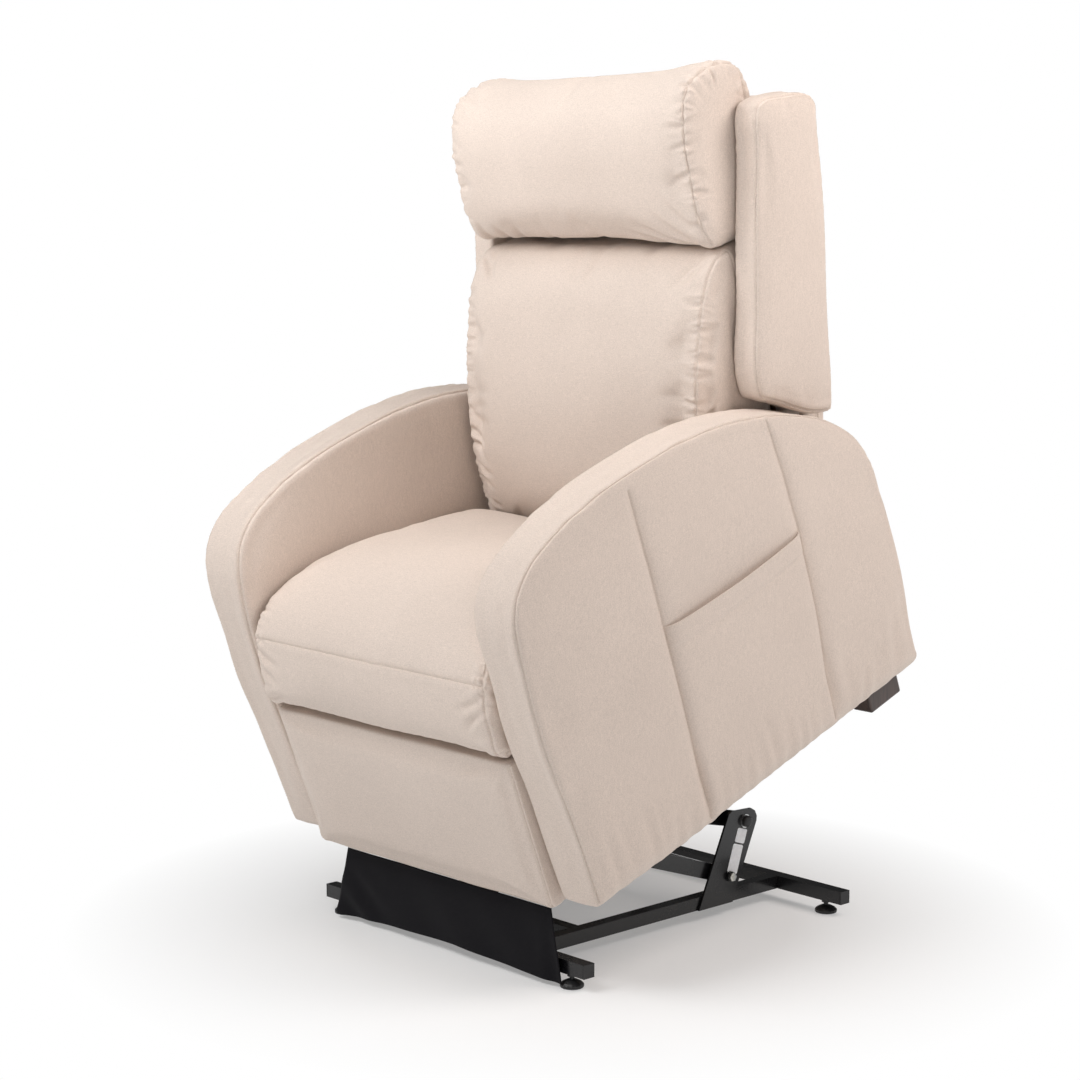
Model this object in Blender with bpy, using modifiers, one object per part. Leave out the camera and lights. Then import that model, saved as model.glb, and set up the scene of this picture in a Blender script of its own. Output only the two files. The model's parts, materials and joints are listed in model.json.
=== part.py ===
"""Lift recliner chair, raised: a base frame on four levelling feet, a four-bar lift on each side, and on
it a seat unit with two arms, a reclining back and a swing-out footrest.

Metres, +Z up, front towards -Y, the sitter's left towards +X. The seat unit is modelled level, in its own
axes (y back, z up, from the lower front edge of the arms), under an empty that carries the raised tilt.
"""

import math

import bmesh
import bpy
from mathutils import Vector

# Driving dimensions of the chair.
CHAIR_WIDTH = 0.76
ARM_WIDTH = 0.088
ARM_DEPTH = 0.806
BASE_CENTRE_Y = 0.0425
RAISED_TILT = math.radians(20.7)
SEAT_UNIT_Y = -0.333
SEAT_UNIT_Z = 0.1535
GAP = 0.0003

# Base frame.
TUBE = 0.0224
TUBE_WALL = 0.0015
TUBE_BOTTOM = 0.022
TUBE_Z = TUBE_BOTTOM + TUBE / 2
TUBE_Y = 0.3018
FRONT_TUBE_LENGTH = 0.637
REAR_TUBE_LENGTH = 0.645
CAP_FLANGE = 0.003
CAP_PLUG = 0.014
RAIL_OUTER_X = 0.178
FOOT_X = 0.28
FOOT_RADIUS = 0.019
STUD_RADIUS = 0.004

# Lift mechanism: fixed pivots on the bracket, moving pivots on the seat unit's side plates.
UPPER_PIVOT = (0.201, 0.159)
LOWER_PIVOT = (0.163, 0.069)
SEAT_UPPER_PIVOT = (0.1328, 0.0664)
SEAT_LOWER_PIVOT = (0.0805, 0.0363)
BRACKET_THICK = 0.004
BRACKET_X = RAIL_OUTER_X + GAP
LOWER_LINK_X = 0.168
UPPER_LINK_X = 0.161
LINK_THICK = 0.004
LINK_HALF_WIDTH = 0.014
PIN_RADIUS = 0.005
PIN_CLEARANCE = 0.0004
OPEN_PIVOT_CLEARANCE = 0.0032
LIFT_TUBE_RADIUS = 0.011
LIFT_TUBE_FROM_FRONT = 0.058
TORQUE_TUBE_RADIUS = 0.0125
CRANK_LENGTH = 0.12
CRANK_REST_LEAN = math.radians(16.8)
LIFT_MOTOR_X = -0.055
EAR_THICK = 0.004
EAR_OFFSETS = (-0.0135, 0.0095)  # a motor's two ears, from its middle
LIFT_MOTOR_PIVOT = (-0.18, 0.062)
SKIRT_Y = -0.322
SKIRT_TOP = 0.126

# Seat unit.
PLATE_X = 0.184
PLATE_THICK = 0.004
ARM_INNER_X = CHAIR_WIDTH / 2 - ARM_WIDTH
RAIL_LOW = 0.2625
RAIL_HIGH = 0.2845
FRONT_RAIL_Y = 0.075
REAR_RAIL_Y = 0.53
PLATFORM_THICK = 0.012
COVER_INNER_WALL = 0.012
COVER_OUTER_WALL = 0.024
SEAT_HALF_WIDTH = 0.284
REAR_FOOT_HEIGHT = 0.047

# Back, hinged at the rear of the side plates.
BACK_HINGE = (0.61, 0.25)
BACK_LEAN = math.radians(14.4)
BACK_HALF_WIDTH = 0.278
WING_OUTER_X = 0.335
RECLINE_LEVER = 0.07
RECLINE_MOTOR_X = 0.06
RECLINE_MOTOR_PIVOT = (0.075, 0.212)

# Footrest linkage, in the seat unit's axes, folded.
DRIVE_TUBE = (0.10, 0.24)
DRIVE_TUBE_RADIUS = 0.008
BRACE_PIVOT = (0.147, 0.24)
FOOTREST_ELBOW = (0.21, 0.124)
FOOTREST_PIN = (0.05, 0.12)
FOOTREST_LINK_TAIL = 0.05
FOOTREST_LINK_THICK = 0.003
FOOTREST_LINK_HALF_WIDTH = 0.010
MAIN_LINK_X = 0.190
SECOND_LINK_X = 0.1945
BRACE_LINK_X = 0.199
RIVET_RADIUS = 0.0035
BRACE_OPEN_CLEARANCE = 0.0045
FOOTREST_TOP = 0.248
FOOTREST_BOTTOM = -0.015

# Handset in the right arm's pocket.
HANDSET_Y = 0.43
HANDSET_LOW = 0.265
HANDSET_HIGH = 0.415
HANDSET_THICK = 0.018
HANDSET_RECESS = 0.014
BUTTON_RADIUS = 0.009
BUTTON_HEIGHTS = {"button_up": 0.393, "button_down": 0.365}

ROUND_STEPS = 12


def clear_scene():
    for obj in list(bpy.data.objects):
        bpy.data.objects.remove(obj)


def make_collection(name):
    collection = bpy.data.collections.new(name)
    bpy.context.scene.collection.children.link(collection)
    return collection


clear_scene()
CHAIR = make_collection("lift_recliner_chair")
CUTTERS = make_collection("cutters")


def make_material(name, colour, roughness, metallic=0.0):
    material = bpy.data.materials.new(name)
    material.use_nodes = True
    shader = material.node_tree.nodes["Principled BSDF"]
    shader.inputs["Base Color"].default_value = (*colour, 1)
    shader.inputs["Roughness"].default_value = roughness
    shader.inputs["Metallic"].default_value = metallic
    return material


FABRIC = make_material("oatmeal_fabric", (0.52, 0.45, 0.37), 0.9)
SKIRT_CLOTH = make_material("black_cloth", (0.012, 0.012, 0.014), 0.85)
BLACK_STEEL = make_material("black_powder_coat", (0.012, 0.012, 0.013), 0.3)
ZINC = make_material("zinc", (0.62, 0.62, 0.60), 0.35, 1.0)
BLACK_PLASTIC = make_material("black_plastic", (0.02, 0.02, 0.02), 0.45)
GREY_PLASTIC = make_material("grey_plastic", (0.30, 0.30, 0.31), 0.5)
DARK_WOOD = make_material("dark_brown_wood", (0.05, 0.025, 0.015), 0.5)
PLYWOOD = make_material("plywood", (0.60, 0.43, 0.26), 0.7)


def make_empty(name, location, tilt=0.0, parent=None):
    empty = bpy.data.objects.new(name, None)
    CHAIR.objects.link(empty)
    empty.location = location
    empty.rotation_euler = (tilt, 0, 0)
    empty.parent = parent
    return empty


BASE = make_empty("base_frame", (0, BASE_CENTRE_Y, 0))
SEAT = make_empty("seat_unit", (0, SEAT_UNIT_Y, SEAT_UNIT_Z), RAISED_TILT, BASE)
BACK = make_empty("back_unit", (0, *BACK_HINGE), 0, SEAT)


def place(obj, parent, material, cutter=False):
    """Puts an object into its collection, under its parent, with its material."""
    (CUTTERS if cutter else CHAIR).objects.link(obj)
    obj.parent = parent
    obj.data.materials.append(material)
    if cutter:
        obj.hide_render = True
        obj.display_type = "WIRE"
    return obj


def add_bevel(obj, width, segments=2):
    if width:
        bevel = obj.modifiers.new("rounded_edges", "BEVEL")
        bevel.width = width
        bevel.segments = segments
        bevel.limit_method = "ANGLE"
    return obj


def shade_round(obj):
    obj.data.shade_smooth()
    obj.data.set_sharp_from_angle(angle=math.radians(35))
    return obj


def box(name, low, high, parent, material, bevel=0.0, cutter=False):
    """A block between two corners, with its origin at its middle."""
    low, high = Vector(low), Vector(high)
    mesh = bpy.data.meshes.new(name)
    shape = bmesh.new()
    bmesh.ops.create_cube(shape, size=1)
    bmesh.ops.scale(shape, vec=high - low, verts=shape.verts)
    shape.to_mesh(mesh)
    shape.free()
    obj = bpy.data.objects.new(name, mesh)
    obj.location = (low + high) / 2
    return add_bevel(place(obj, parent, material, cutter), bevel)


def cylinder(name, start, end, radius, parent, material, steps=ROUND_STEPS, cutter=False):
    """A round bar from start to end."""
    start, end = Vector(start), Vector(end)
    mesh = bpy.data.meshes.new(name)
    shape = bmesh.new()
    bmesh.ops.create_cone(shape, cap_ends=True, segments=steps, radius1=radius, radius2=radius,
                          depth=(end - start).length)
    shape.to_mesh(mesh)
    shape.free()
    obj = bpy.data.objects.new(name, mesh)
    obj.location = (start + end) / 2
    obj.rotation_mode = "QUATERNION"
    obj.rotation_quaternion = (end - start).to_track_quat("Z", "Y")
    return shade_round(place(obj, parent, material, cutter))


def turned(name, profile, centre, parent, material, axis="Z", flip=False, steps=ROUND_STEPS):
    """A turned shape: profile holds (radius, height) from the top down its outer side."""
    mesh = bpy.data.meshes.new(name)
    points = [(radius, 0, height) for radius, height in profile]
    mesh.from_pydata(points, [(i, i + 1) for i in range(len(points) - 1)], [])
    obj = bpy.data.objects.new(name, mesh)
    obj.location = centre
    if axis == "X":
        obj.rotation_euler = (0, -math.pi / 2 if flip else math.pi / 2, 0)
    screw = obj.modifiers.new("turning", "SCREW")
    screw.steps = steps
    screw.render_steps = steps
    screw.use_merge_vertices = True
    screw.merge_threshold = 0.00005
    return place(obj, parent, material)


def round_hole(centre, radius, steps=ROUND_STEPS):
    """The points of a circle in the (y, z) plane."""
    turn = 2 * math.pi / steps
    return [(centre[0] + radius * math.cos(i * turn), centre[1] + radius * math.sin(i * turn))
            for i in range(steps)]


def bar_outline(start, end, half_width, steps=6):
    """The outline of a flat bar with round ends about start and end."""
    heading = math.atan2(end[1] - start[1], end[0] - start[0])
    points = []
    for centre, side in ((end, -0.5), (start, 0.5)):
        for i in range(steps + 1):
            angle = heading + math.pi * (side + i / steps)
            points.append((centre[0] + half_width * math.cos(angle), centre[1] + half_width * math.sin(angle)))
    return points


def rectangle(low, high):
    return [(low[0], low[1]), (high[0], low[1]), (high[0], high[1]), (low[0], high[1])]


def add_outline(curve, outline, smooth, origin):
    """One closed outline. A smooth outline is a Bezier curve whose points marked 'corner' stay sharp."""
    if not smooth:
        spline = curve.splines.new("POLY")
        spline.points.add(len(outline) - 1)
        for point, (u, v) in zip(spline.points, outline):
            point.co = (u - origin[0], v - origin[1], 0, 1)
    else:
        spline = curve.splines.new("BEZIER")
        spline.bezier_points.add(len(outline) - 1)
        for point, (u, v, *corner) in zip(spline.bezier_points, outline):
            point.co = (u - origin[0], v - origin[1], 0)
            handle = "VECTOR" if corner else "AUTO"
            point.handle_left_type = handle
            point.handle_right_type = handle
    spline.use_cyclic_u = True


def extruded(name, outline, low, high, parent, material, holes=(), smooth=False, round_edge=0.0,
             inset=0.0, origin=(0, 0), along="X", cutter=False):
    """A flat outline in (y, z), or in (x, z) when along is Y, extruded from low to high."""
    curve = bpy.data.curves.new(name, "CURVE")
    curve.dimensions = "2D"
    curve.fill_mode = "BOTH"
    curve.resolution_u = 3
    curve.extrude = (high - low) / 2 - round_edge
    curve.bevel_depth = round_edge
    curve.bevel_resolution = 1
    curve.offset = -round_edge - inset
    add_outline(curve, outline, smooth, origin)
    for hole in holes:
        add_outline(curve, hole, False, origin)
    obj = bpy.data.objects.new(name, curve)
    middle = (low + high) / 2
    if along == "X":
        obj.location = (middle, origin[0], origin[1])
        obj.rotation_euler = (math.pi / 2, 0, math.pi / 2)
    else:
        obj.location = (origin[0], middle, origin[1])
        obj.rotation_euler = (math.pi / 2, 0, 0)
    return place(obj, parent, material, cutter)


def to_mesh(obj):
    """Turns a curve object into a mesh object of the same name, place and parent."""
    bpy.context.view_layer.update()
    graph = bpy.context.evaluated_depsgraph_get()
    mesh = bpy.data.meshes.new_from_object(obj.evaluated_get(graph))
    shape = bmesh.new()
    shape.from_mesh(mesh)
    bmesh.ops.remove_doubles(shape, verts=shape.verts, dist=0.00001)
    bmesh.ops.recalc_face_normals(shape, faces=shape.faces)
    shape.to_mesh(mesh)
    shape.free()
    name, cutter = obj.name, obj.hide_render
    parent, place_in_parent = obj.parent, obj.matrix_local.copy()
    material = obj.data.materials[0]
    curve = obj.data
    bpy.data.objects.remove(obj)
    bpy.data.curves.remove(curve)
    made = bpy.data.objects.new(name, mesh)
    made.data.materials.clear()
    place(made, parent, material, cutter)
    made.matrix_local = place_in_parent
    return made


def combine(obj, others, operation):
    """Joins the others to the object, or cuts them from it, with a Boolean each."""
    for other in others:
        boolean = obj.modifiers.new(other.name, "BOOLEAN")
        boolean.operation = operation
        boolean.object = other
        boolean.solver = "EXACT"
    return obj


def square_tube(name, low, high, centre, along, parent, material):
    """A hollow square tube: low and high along its length, centre across it."""
    half = TUBE / 2
    u, v = centre
    outer = rectangle((u - half, v - half), (u + half, v + half))
    inner = rectangle((u - half + TUBE_WALL, v - half + TUBE_WALL), (u + half - TUBE_WALL, v + half - TUBE_WALL))
    return extruded(name, outer, low, high, parent, material, holes=[inner], along=along, origin=centre)


def both_sides():
    """The two sides of the chair, as (name, sign of x)."""
    return (("left", 1), ("right", -1))


def between(sign, near, thick):
    """The low and high x of a sheet that starts at near from the middle, on one side."""
    return sorted((sign * near, sign * (near + thick)))


# ---------------------------------------------------------------- base frame


def tube_cap(name, x, y, sign):
    """A plastic plug with a flange that covers the tube's end."""
    half = TUBE / 2
    plug = half - TUBE_WALL - GAP
    outer = sorted((x, x - sign * CAP_FLANGE))
    inner = sorted((x - sign * CAP_FLANGE / 2, x - sign * (CAP_FLANGE + CAP_PLUG)))
    cap = box(name, (outer[0], y - half, TUBE_Z - half), (outer[1], y + half, TUBE_Z + half), BASE, BLACK_PLASTIC)
    stem = box(name + "_plug", (inner[0], y - plug, TUBE_Z - plug), (inner[1], y + plug, TUBE_Z + plug),
               BASE, BLACK_PLASTIC, cutter=True)
    return combine(cap, [stem], "UNION")


def make_base_tubes():
    for place_name, sign, length in (("front", -1, FRONT_TUBE_LENGTH), ("rear", 1, REAR_TUBE_LENGTH)):
        y = sign * TUBE_Y
        end = length / 2 - CAP_FLANGE - GAP
        square_tube(f"base_{place_name}_tube", -end, end, (y, TUBE_Z), "X", BASE, BLACK_STEEL)
        for side, x_sign in both_sides():
            tube_cap(f"tube_cap_{place_name}_{side}", x_sign * length / 2, y, x_sign)
    rail_end = TUBE_Y - TUBE / 2 - GAP
    for side, sign in both_sides():
        centre = (sign * (RAIL_OUTER_X - TUBE / 2), TUBE_Z)
        square_tube(f"base_rail_{side}", -rail_end, rail_end, centre, "Y", BASE, BLACK_STEEL)


def make_levelling_feet():
    """A rubber pad with a zinc stud and lock nut, up to the tube's lower face."""
    profile = [(0, TUBE_BOTTOM - GAP), (0.0075, TUBE_BOTTOM - GAP), (0.0075, TUBE_BOTTOM - 0.0045),
               (STUD_RADIUS, TUBE_BOTTOM - 0.0045), (STUD_RADIUS, 0.0125), (0.009, 0.0115),
               (FOOT_RADIUS - 0.003, 0.008), (FOOT_RADIUS, 0.005), (FOOT_RADIUS, 0.001),
               (FOOT_RADIUS - 0.001, 0), (0, 0)]
    for end, y_sign in (("front", -1), ("rear", 1)):
        for side, x_sign in both_sides():
            centre = (x_sign * FOOT_X, y_sign * TUBE_Y, 0)
            turned(f"levelling_foot_{end}_{side}", profile, centre, BASE, BLACK_PLASTIC, steps=16)


def make_brackets():
    """A leaning plate on each rail, with the two pivot holes of the lift."""
    outline = [(0.089, TUBE_BOTTOM), (0.172, TUBE_BOTTOM), (0.186, 0.056), (0.230, 0.154), (0.231, 0.163),
               (0.226, 0.173), (0.216, 0.179), (0.168, 0.181), (0.161, 0.177)]
    shaft = PIN_RADIUS + PIN_CLEARANCE
    holes = [round_hole(UPPER_PIVOT, shaft), round_hole(LOWER_PIVOT, shaft)]
    for side, sign in both_sides():
        low, high = between(sign, BRACKET_X, BRACKET_THICK)
        extruded(f"pivot_bracket_{side}", outline, low, high, BASE, BLACK_STEEL, holes=holes)


def make_upper_pivot_bolts():
    """A capped bolt outside the bracket, through the bracket and the upper link, with its nut inside."""
    outside = BRACKET_X + BRACKET_THICK + GAP
    nut = UPPER_LINK_X - GAP
    profile = [(0, outside + 0.007), (0.006, outside + 0.007), (0.009, outside + 0.004), (0.009, outside + 0.0015),
               (0.012, outside + 0.0015), (0.012, outside), (PIN_RADIUS, outside), (PIN_RADIUS, nut),
               (0.009, nut), (0.009, nut - 0.006), (0, nut - 0.006)]
    for side, sign in both_sides():
        turned(f"upper_pivot_bolt_{side}", profile, (0, *UPPER_PIVOT), BASE, ZINC, axis="X", flip=sign < 0)


def make_motor_cross_member():
    """A square tube between the rails with two ears for the lift motor's pin."""
    y, z = LIFT_MOTOR_PIVOT
    end = RAIL_OUTER_X - TUBE - GAP
    tube = to_mesh(square_tube("motor_cross_member", -end, end, (y, TUBE_Z), "X", BASE, BLACK_STEEL))
    outline = [(y - 0.014, TUBE_Z + 0.0102), (y + 0.014, TUBE_Z + 0.0102), (y + 0.012, z + 0.008), (y, z + 0.013),
               (y - 0.012, z + 0.008)]
    ears = []
    for i, x in enumerate(EAR_OFFSETS):
        ear = extruded(f"motor_ear_{i}", outline, LIFT_MOTOR_X + x, LIFT_MOTOR_X + x + EAR_THICK, BASE, BLACK_STEEL,
                       cutter=True)
        ears.append(to_mesh(ear))
    pin = cylinder("motor_ear_pin", (LIFT_MOTOR_X - 0.012, y, z), (LIFT_MOTOR_X + 0.012, y, z), PIN_RADIUS,
                   BASE, ZINC, cutter=True)
    return combine(tube, [*ears, pin], "UNION")


def make_skirt():
    """The cloth in front of the mechanism, from the seat unit's underside to the floor."""
    outline = [(-0.242, SKIRT_TOP, 1), (-0.271, 0.006, 1), (-0.12, 0.013), (0.03, 0.017), (0.16, 0.012),
               (0.278, 0.006, 1), (0.258, SKIRT_TOP, 1)]
    extruded("front_skirt", outline, SKIRT_Y - 0.001, SKIRT_Y + 0.001, BASE, SKIRT_CLOTH, smooth=True, along="Y")


# ---------------------------------------------------------------- lift mechanism


def to_base(point):
    """A point of the seat unit's side view, in the base's side view, with the chair raised."""
    y, z = point
    return (SEAT_UNIT_Y + y * math.cos(RAISED_TILT) - z * math.sin(RAISED_TILT),
            SEAT_UNIT_Z + y * math.sin(RAISED_TILT) + z * math.cos(RAISED_TILT))


def link(name, start, end, x, thick, half_width, start_hole, end_hole, parent, material=BLACK_STEEL):
    """A flat bar with a hole at each end, its origin at its first pivot."""
    holes = [round_hole(start, start_hole), round_hole(end, end_hole)]
    return extruded(name, bar_outline(start, end, half_width), *between(*x, thick), parent, material,
                    holes=holes, origin=start)


def make_lift_links():
    running = PIN_RADIUS + PIN_CLEARANCE
    front = to_base(SEAT_LOWER_PIVOT)
    for side, sign in both_sides():
        link(f"lower_link_{side}", LOWER_PIVOT, front, (sign, LOWER_LINK_X), LINK_THICK, LINK_HALF_WIDTH,
             running, running, BASE)
        link(f"upper_link_{side}", UPPER_PIVOT, to_base(SEAT_UPPER_PIVOT), (sign, UPPER_LINK_X), LINK_THICK,
             LINK_HALF_WIDTH, running, PIN_RADIUS + OPEN_PIVOT_CLEARANCE, BASE)


def make_lift_tube():
    """The round tube that joins the two lower links near their front ends."""
    pivot, front = Vector(LOWER_PIVOT), Vector(to_base(SEAT_LOWER_PIVOT))
    centre = front + (pivot - front).normalized() * LIFT_TUBE_FROM_FRONT
    end = LOWER_LINK_X - GAP
    extruded("lift_cross_tube", round_hole(centre, LIFT_TUBE_RADIUS), -end, end, BASE, BLACK_STEEL,
             holes=[round_hole(centre, LIFT_TUBE_RADIUS - TUBE_WALL)], origin=tuple(centre))


def crank_pin():
    """The lift motor's pin on the crank, raised, in the base's side view."""
    return (LOWER_PIVOT[0] + CRANK_LENGTH * math.sin(CRANK_REST_LEAN),
            LOWER_PIVOT[1] + CRANK_LENGTH * math.cos(CRANK_REST_LEAN))


def make_torque_tube():
    """The shaft through both brackets that turns the lower links, with the crank that the lift motor pushes."""
    outside = BRACKET_X + BRACKET_THICK + GAP
    shoulder = UPPER_LINK_X - 0.003
    half = [(PIN_RADIUS + 0.004, outside + 0.005), (PIN_RADIUS + 0.004, outside), (PIN_RADIUS, outside),
            (PIN_RADIUS, shoulder), (TORQUE_TUBE_RADIUS, shoulder)]
    lower = [(radius, -height) for radius, height in reversed(half)]
    profile = [(0, outside + 0.005), *half, *lower, (0, -outside - 0.005)]
    shaft = turned("torque_tube", profile, (0, *LOWER_PIVOT), BASE, BLACK_STEEL, axis="X")
    cranks = []
    for i, x in enumerate(EAR_OFFSETS):
        crank = extruded(f"crank_{i}", bar_outline(LOWER_PIVOT, crank_pin(), 0.0118), LIFT_MOTOR_X + x,
                         LIFT_MOTOR_X + x + EAR_THICK, BASE, BLACK_STEEL, origin=LOWER_PIVOT, cutter=True)
        cranks.append(to_mesh(crank))
    y, z = crank_pin()
    pin = cylinder("crank_pin", (LIFT_MOTOR_X - 0.012, y, z), (LIFT_MOTOR_X + 0.012, y, z), PIN_RADIUS,
                   BASE, ZINC, cutter=True)
    return combine(shaft, [*cranks, pin], "UNION")


def make_actuator(name, x, start, end, start_hole, end_hole, rod_shown, parent):
    """A linear actuator from start to end in its parent's side view: a motor with its tube, and its rod."""
    length = math.dist(start, end)
    aim = math.atan2(end[1] - start[1], end[0] - start[0])
    axis = make_empty(f"{name}_axis", (x, *start), aim, parent)
    tube_end = length - rod_shown
    motor = to_mesh(extruded(f"{name}_motor", bar_outline((0, 0), (0.05, 0), 0.012), -0.008, 0.008, axis,
                             BLACK_PLASTIC, holes=[round_hole((0, 0), start_hole)]))
    housing = box(f"{name}_housing", (-0.034, 0.045, -0.031), (0.034, 0.145, 0.030), axis, BLACK_PLASTIC, 0.006,
                  cutter=True)
    tube = cylinder(f"{name}_tube", (0, 0.138, 0), (0, tube_end, 0), 0.0165, axis, BLACK_PLASTIC, cutter=True)
    bore = cylinder(f"{name}_bore", (0, 0.155, 0), (0, tube_end + 0.02, 0), 0.0112, axis, BLACK_PLASTIC,
                    cutter=True)
    combine(motor, [housing, tube], "UNION")
    combine(motor, [bore], "DIFFERENCE")
    rod = to_mesh(extruded(f"{name}_rod", bar_outline((length - 0.02, 0), (length, 0), 0.0115), -0.006, 0.006,
                           axis, ZINC, holes=[round_hole((length, 0), end_hole)], origin=(length, 0)))
    bar = cylinder(f"{name}_rod_bar", (0, 0.215, 0), (0, length - 0.022, 0), 0.0105, axis, ZINC, cutter=True)
    combine(rod, [bar], "UNION")


def make_lift_motor():
    make_actuator("lift", LIFT_MOTOR_X, LIFT_MOTOR_PIVOT, crank_pin(), PIN_RADIUS + PIN_CLEARANCE,
                  PIN_RADIUS + 0.002, 0.075, BASE)


# ---------------------------------------------------------------- seat unit


def make_side_plates():
    """A pressed plate on each side that carries the lift, the footrest linkage and the back's hinge."""
    outline = [(0.060, 0.262), (0.060, 0.09), (0.062, 0.03), (0.070, 0.019), (0.092, 0.018), (0.150, 0.048),
               (0.20, 0.13), (0.26, 0.205), (0.55, 0.228), (0.60, 0.233), (0.626, 0.242), (0.626, 0.262)]
    bearing = [round_hole(DRIVE_TUBE, DRIVE_TUBE_RADIUS + 0.0006)]
    reach = UPPER_LINK_X - 0.002
    for side, sign in both_sides():
        low, high = between(sign, PLATE_X, PLATE_THICK)
        plate = to_mesh(extruded(f"seat_side_plate_{side}", outline, low, high, SEAT, BLACK_STEEL, holes=bearing))
        studs = []
        for i, (y, z) in enumerate((SEAT_UPPER_PIVOT, SEAT_LOWER_PIVOT)):
            studs.append(cylinder(f"lift_stud_{side}_{i}", (sign * reach, y, z), (sign * (PLATE_X + 0.002), y, z),
                                  PIN_RADIUS, SEAT, ZINC, cutter=True))
        outer = BRACE_LINK_X + FOOTREST_LINK_THICK + 0.002
        for i, ((y, z), x) in enumerate(((BRACE_PIVOT, outer), (BACK_HINGE, PLATE_X + 0.014))):
            studs.append(cylinder(f"outer_stud_{side}_{i}", (sign * (PLATE_X + 0.002), y, z), (sign * x, y, z),
                                  PIN_RADIUS, SEAT, ZINC, cutter=True))
        combine(plate, studs, "UNION")


def make_seat_rails():
    """Two square tubes across the side plates, from arm to arm. The front one holds the recline motor's ears."""
    end = ARM_INNER_X - 0.002
    z = (RAIL_LOW + RAIL_HIGH) / 2
    half = (RAIL_HIGH - RAIL_LOW) / 2
    rails = {}
    for name, y in (("seat_front_rail", FRONT_RAIL_Y), ("seat_rear_rail", REAR_RAIL_Y)):
        outer = rectangle((y - half, z - half), (y + half, z + half))
        wall = half - TUBE_WALL
        inner = rectangle((y - wall, z - wall), (y + wall, z + wall))
        rails[name] = extruded(name, outer, -end, end, SEAT, BLACK_STEEL, holes=[inner], origin=(y, z))
    front = to_mesh(rails["seat_front_rail"])
    y, z = RECLINE_MOTOR_PIVOT
    outline = [(y - 0.010, RAIL_LOW + 0.001), (y - 0.012, z), (y, z - 0.013), (y + 0.012, z),
               (y + 0.010, RAIL_LOW + 0.001)]
    ears = []
    for i, x in enumerate(EAR_OFFSETS):
        ear = extruded(f"recline_ear_{i}", outline, RECLINE_MOTOR_X + x, RECLINE_MOTOR_X + x + EAR_THICK, SEAT,
                       BLACK_STEEL, cutter=True)
        ears.append(to_mesh(ear))
    pin = cylinder("recline_ear_pin", (RECLINE_MOTOR_X - 0.012, y, z), (RECLINE_MOTOR_X + 0.012, y, z),
                   PIN_RADIUS, SEAT, ZINC, cutter=True)
    combine(front, [*ears, pin], "UNION")


def make_seat_platform():
    low = RAIL_HIGH + GAP
    box("seat_platform", (-0.283, 0.028, low), (0.283, 0.555, low + PLATFORM_THICK), SEAT, PLYWOOD, 0.002)


def make_control_box():
    box("control_box", (-0.15, 0.30, 0.225), (-0.02, 0.44, RAIL_HIGH - GAP), SEAT, BLACK_PLASTIC, 0.005)


def make_seat_cushion():
    """The cushion, with a rolled front that hangs over the platform's edge."""
    bottom = RAIL_HIGH + 2 * GAP + PLATFORM_THICK
    outline = [(0.024, bottom, 1), (0.024, 0.257, 1), (-0.020, 0.254), (-0.034, 0.263), (-0.0375, 0.30),
               (-0.036, 0.345), (-0.028, 0.384), (-0.008, 0.411), (0.030, 0.432), (0.087, 0.448), (0.16, 0.452),
               (0.24, 0.442), (0.338, 0.416), (0.42, 0.392), (0.477, 0.372), (0.500, 0.352), (0.504, 0.335),
               (0.504, bottom, 1)]
    extruded("seat_cushion", outline, -SEAT_HALF_WIDTH, SEAT_HALF_WIDTH, SEAT, FABRIC, smooth=True,
             round_edge=0.010)


def arm_outline(bottom):
    """The arm's side view: upright front, gently crowned top, rounded rear."""
    return [(0, bottom, 1), (0, 0.455, 1), (0.006, 0.505), (0.04, 0.550), (0.10, 0.5786), (0.20, 0.597),
            (0.32, 0.6016), (0.44, 0.593), (0.56, 0.566), (0.66, 0.524), (0.728, 0.477), (0.782, 0.41),
            (ARM_DEPTH, 0.33, 1), (ARM_DEPTH, bottom, 1)]


def make_arms():
    """Each arm is an upholstered cover, open below, over a plywood frame, with a foot under its rear."""
    inner = ARM_INNER_X
    outer = CHAIR_WIDTH / 2
    for side, sign in both_sides():
        cover = to_mesh(extruded(f"arm_cover_{side}", arm_outline(0), *sorted((sign * inner, sign * outer)), SEAT,
                                 FABRIC, smooth=True, round_edge=0.008))
        hollow_low, hollow_high = sorted((sign * (inner + COVER_INNER_WALL), sign * (outer - COVER_OUTER_WALL)))
        hollow = to_mesh(extruded(f"arm_hollow_{side}", arm_outline(-0.05), hollow_low, hollow_high, SEAT, FABRIC,
                                  smooth=True, inset=COVER_INNER_WALL, cutter=True))
        cuts = [hollow]
        if sign < 0:
            cuts.append(box("handset_well", (-outer - 0.01, HANDSET_Y - 0.0285, HANDSET_LOW - 0.004),
                            (-outer + HANDSET_RECESS, HANDSET_Y + 0.0285, HANDSET_HIGH + 0.004), SEAT, FABRIC,
                            cutter=True))
        combine(cover, cuts, "DIFFERENCE")
        windows = [rectangle((y, 0.10), (y + 0.12, 0.42)) for y in (0.09, 0.26, 0.43)]
        windows.append(rectangle((0.60, 0.10), (0.72, 0.36)))
        extruded(f"arm_frame_{side}", arm_outline(-COVER_INNER_WALL), hollow_low + 0.001, hollow_high - 0.001,
                 SEAT, PLYWOOD, holes=windows, smooth=True, inset=COVER_INNER_WALL + 0.0015)
        foot_x = sorted((sign * 0.310, sign * 0.352))
        box(f"rear_foot_{side}", (foot_x[0], 0.69, -REAR_FOOT_HEIGHT), (foot_x[1], 0.77, -0.001), SEAT,
            DARK_WOOD, 0.003)


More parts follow.
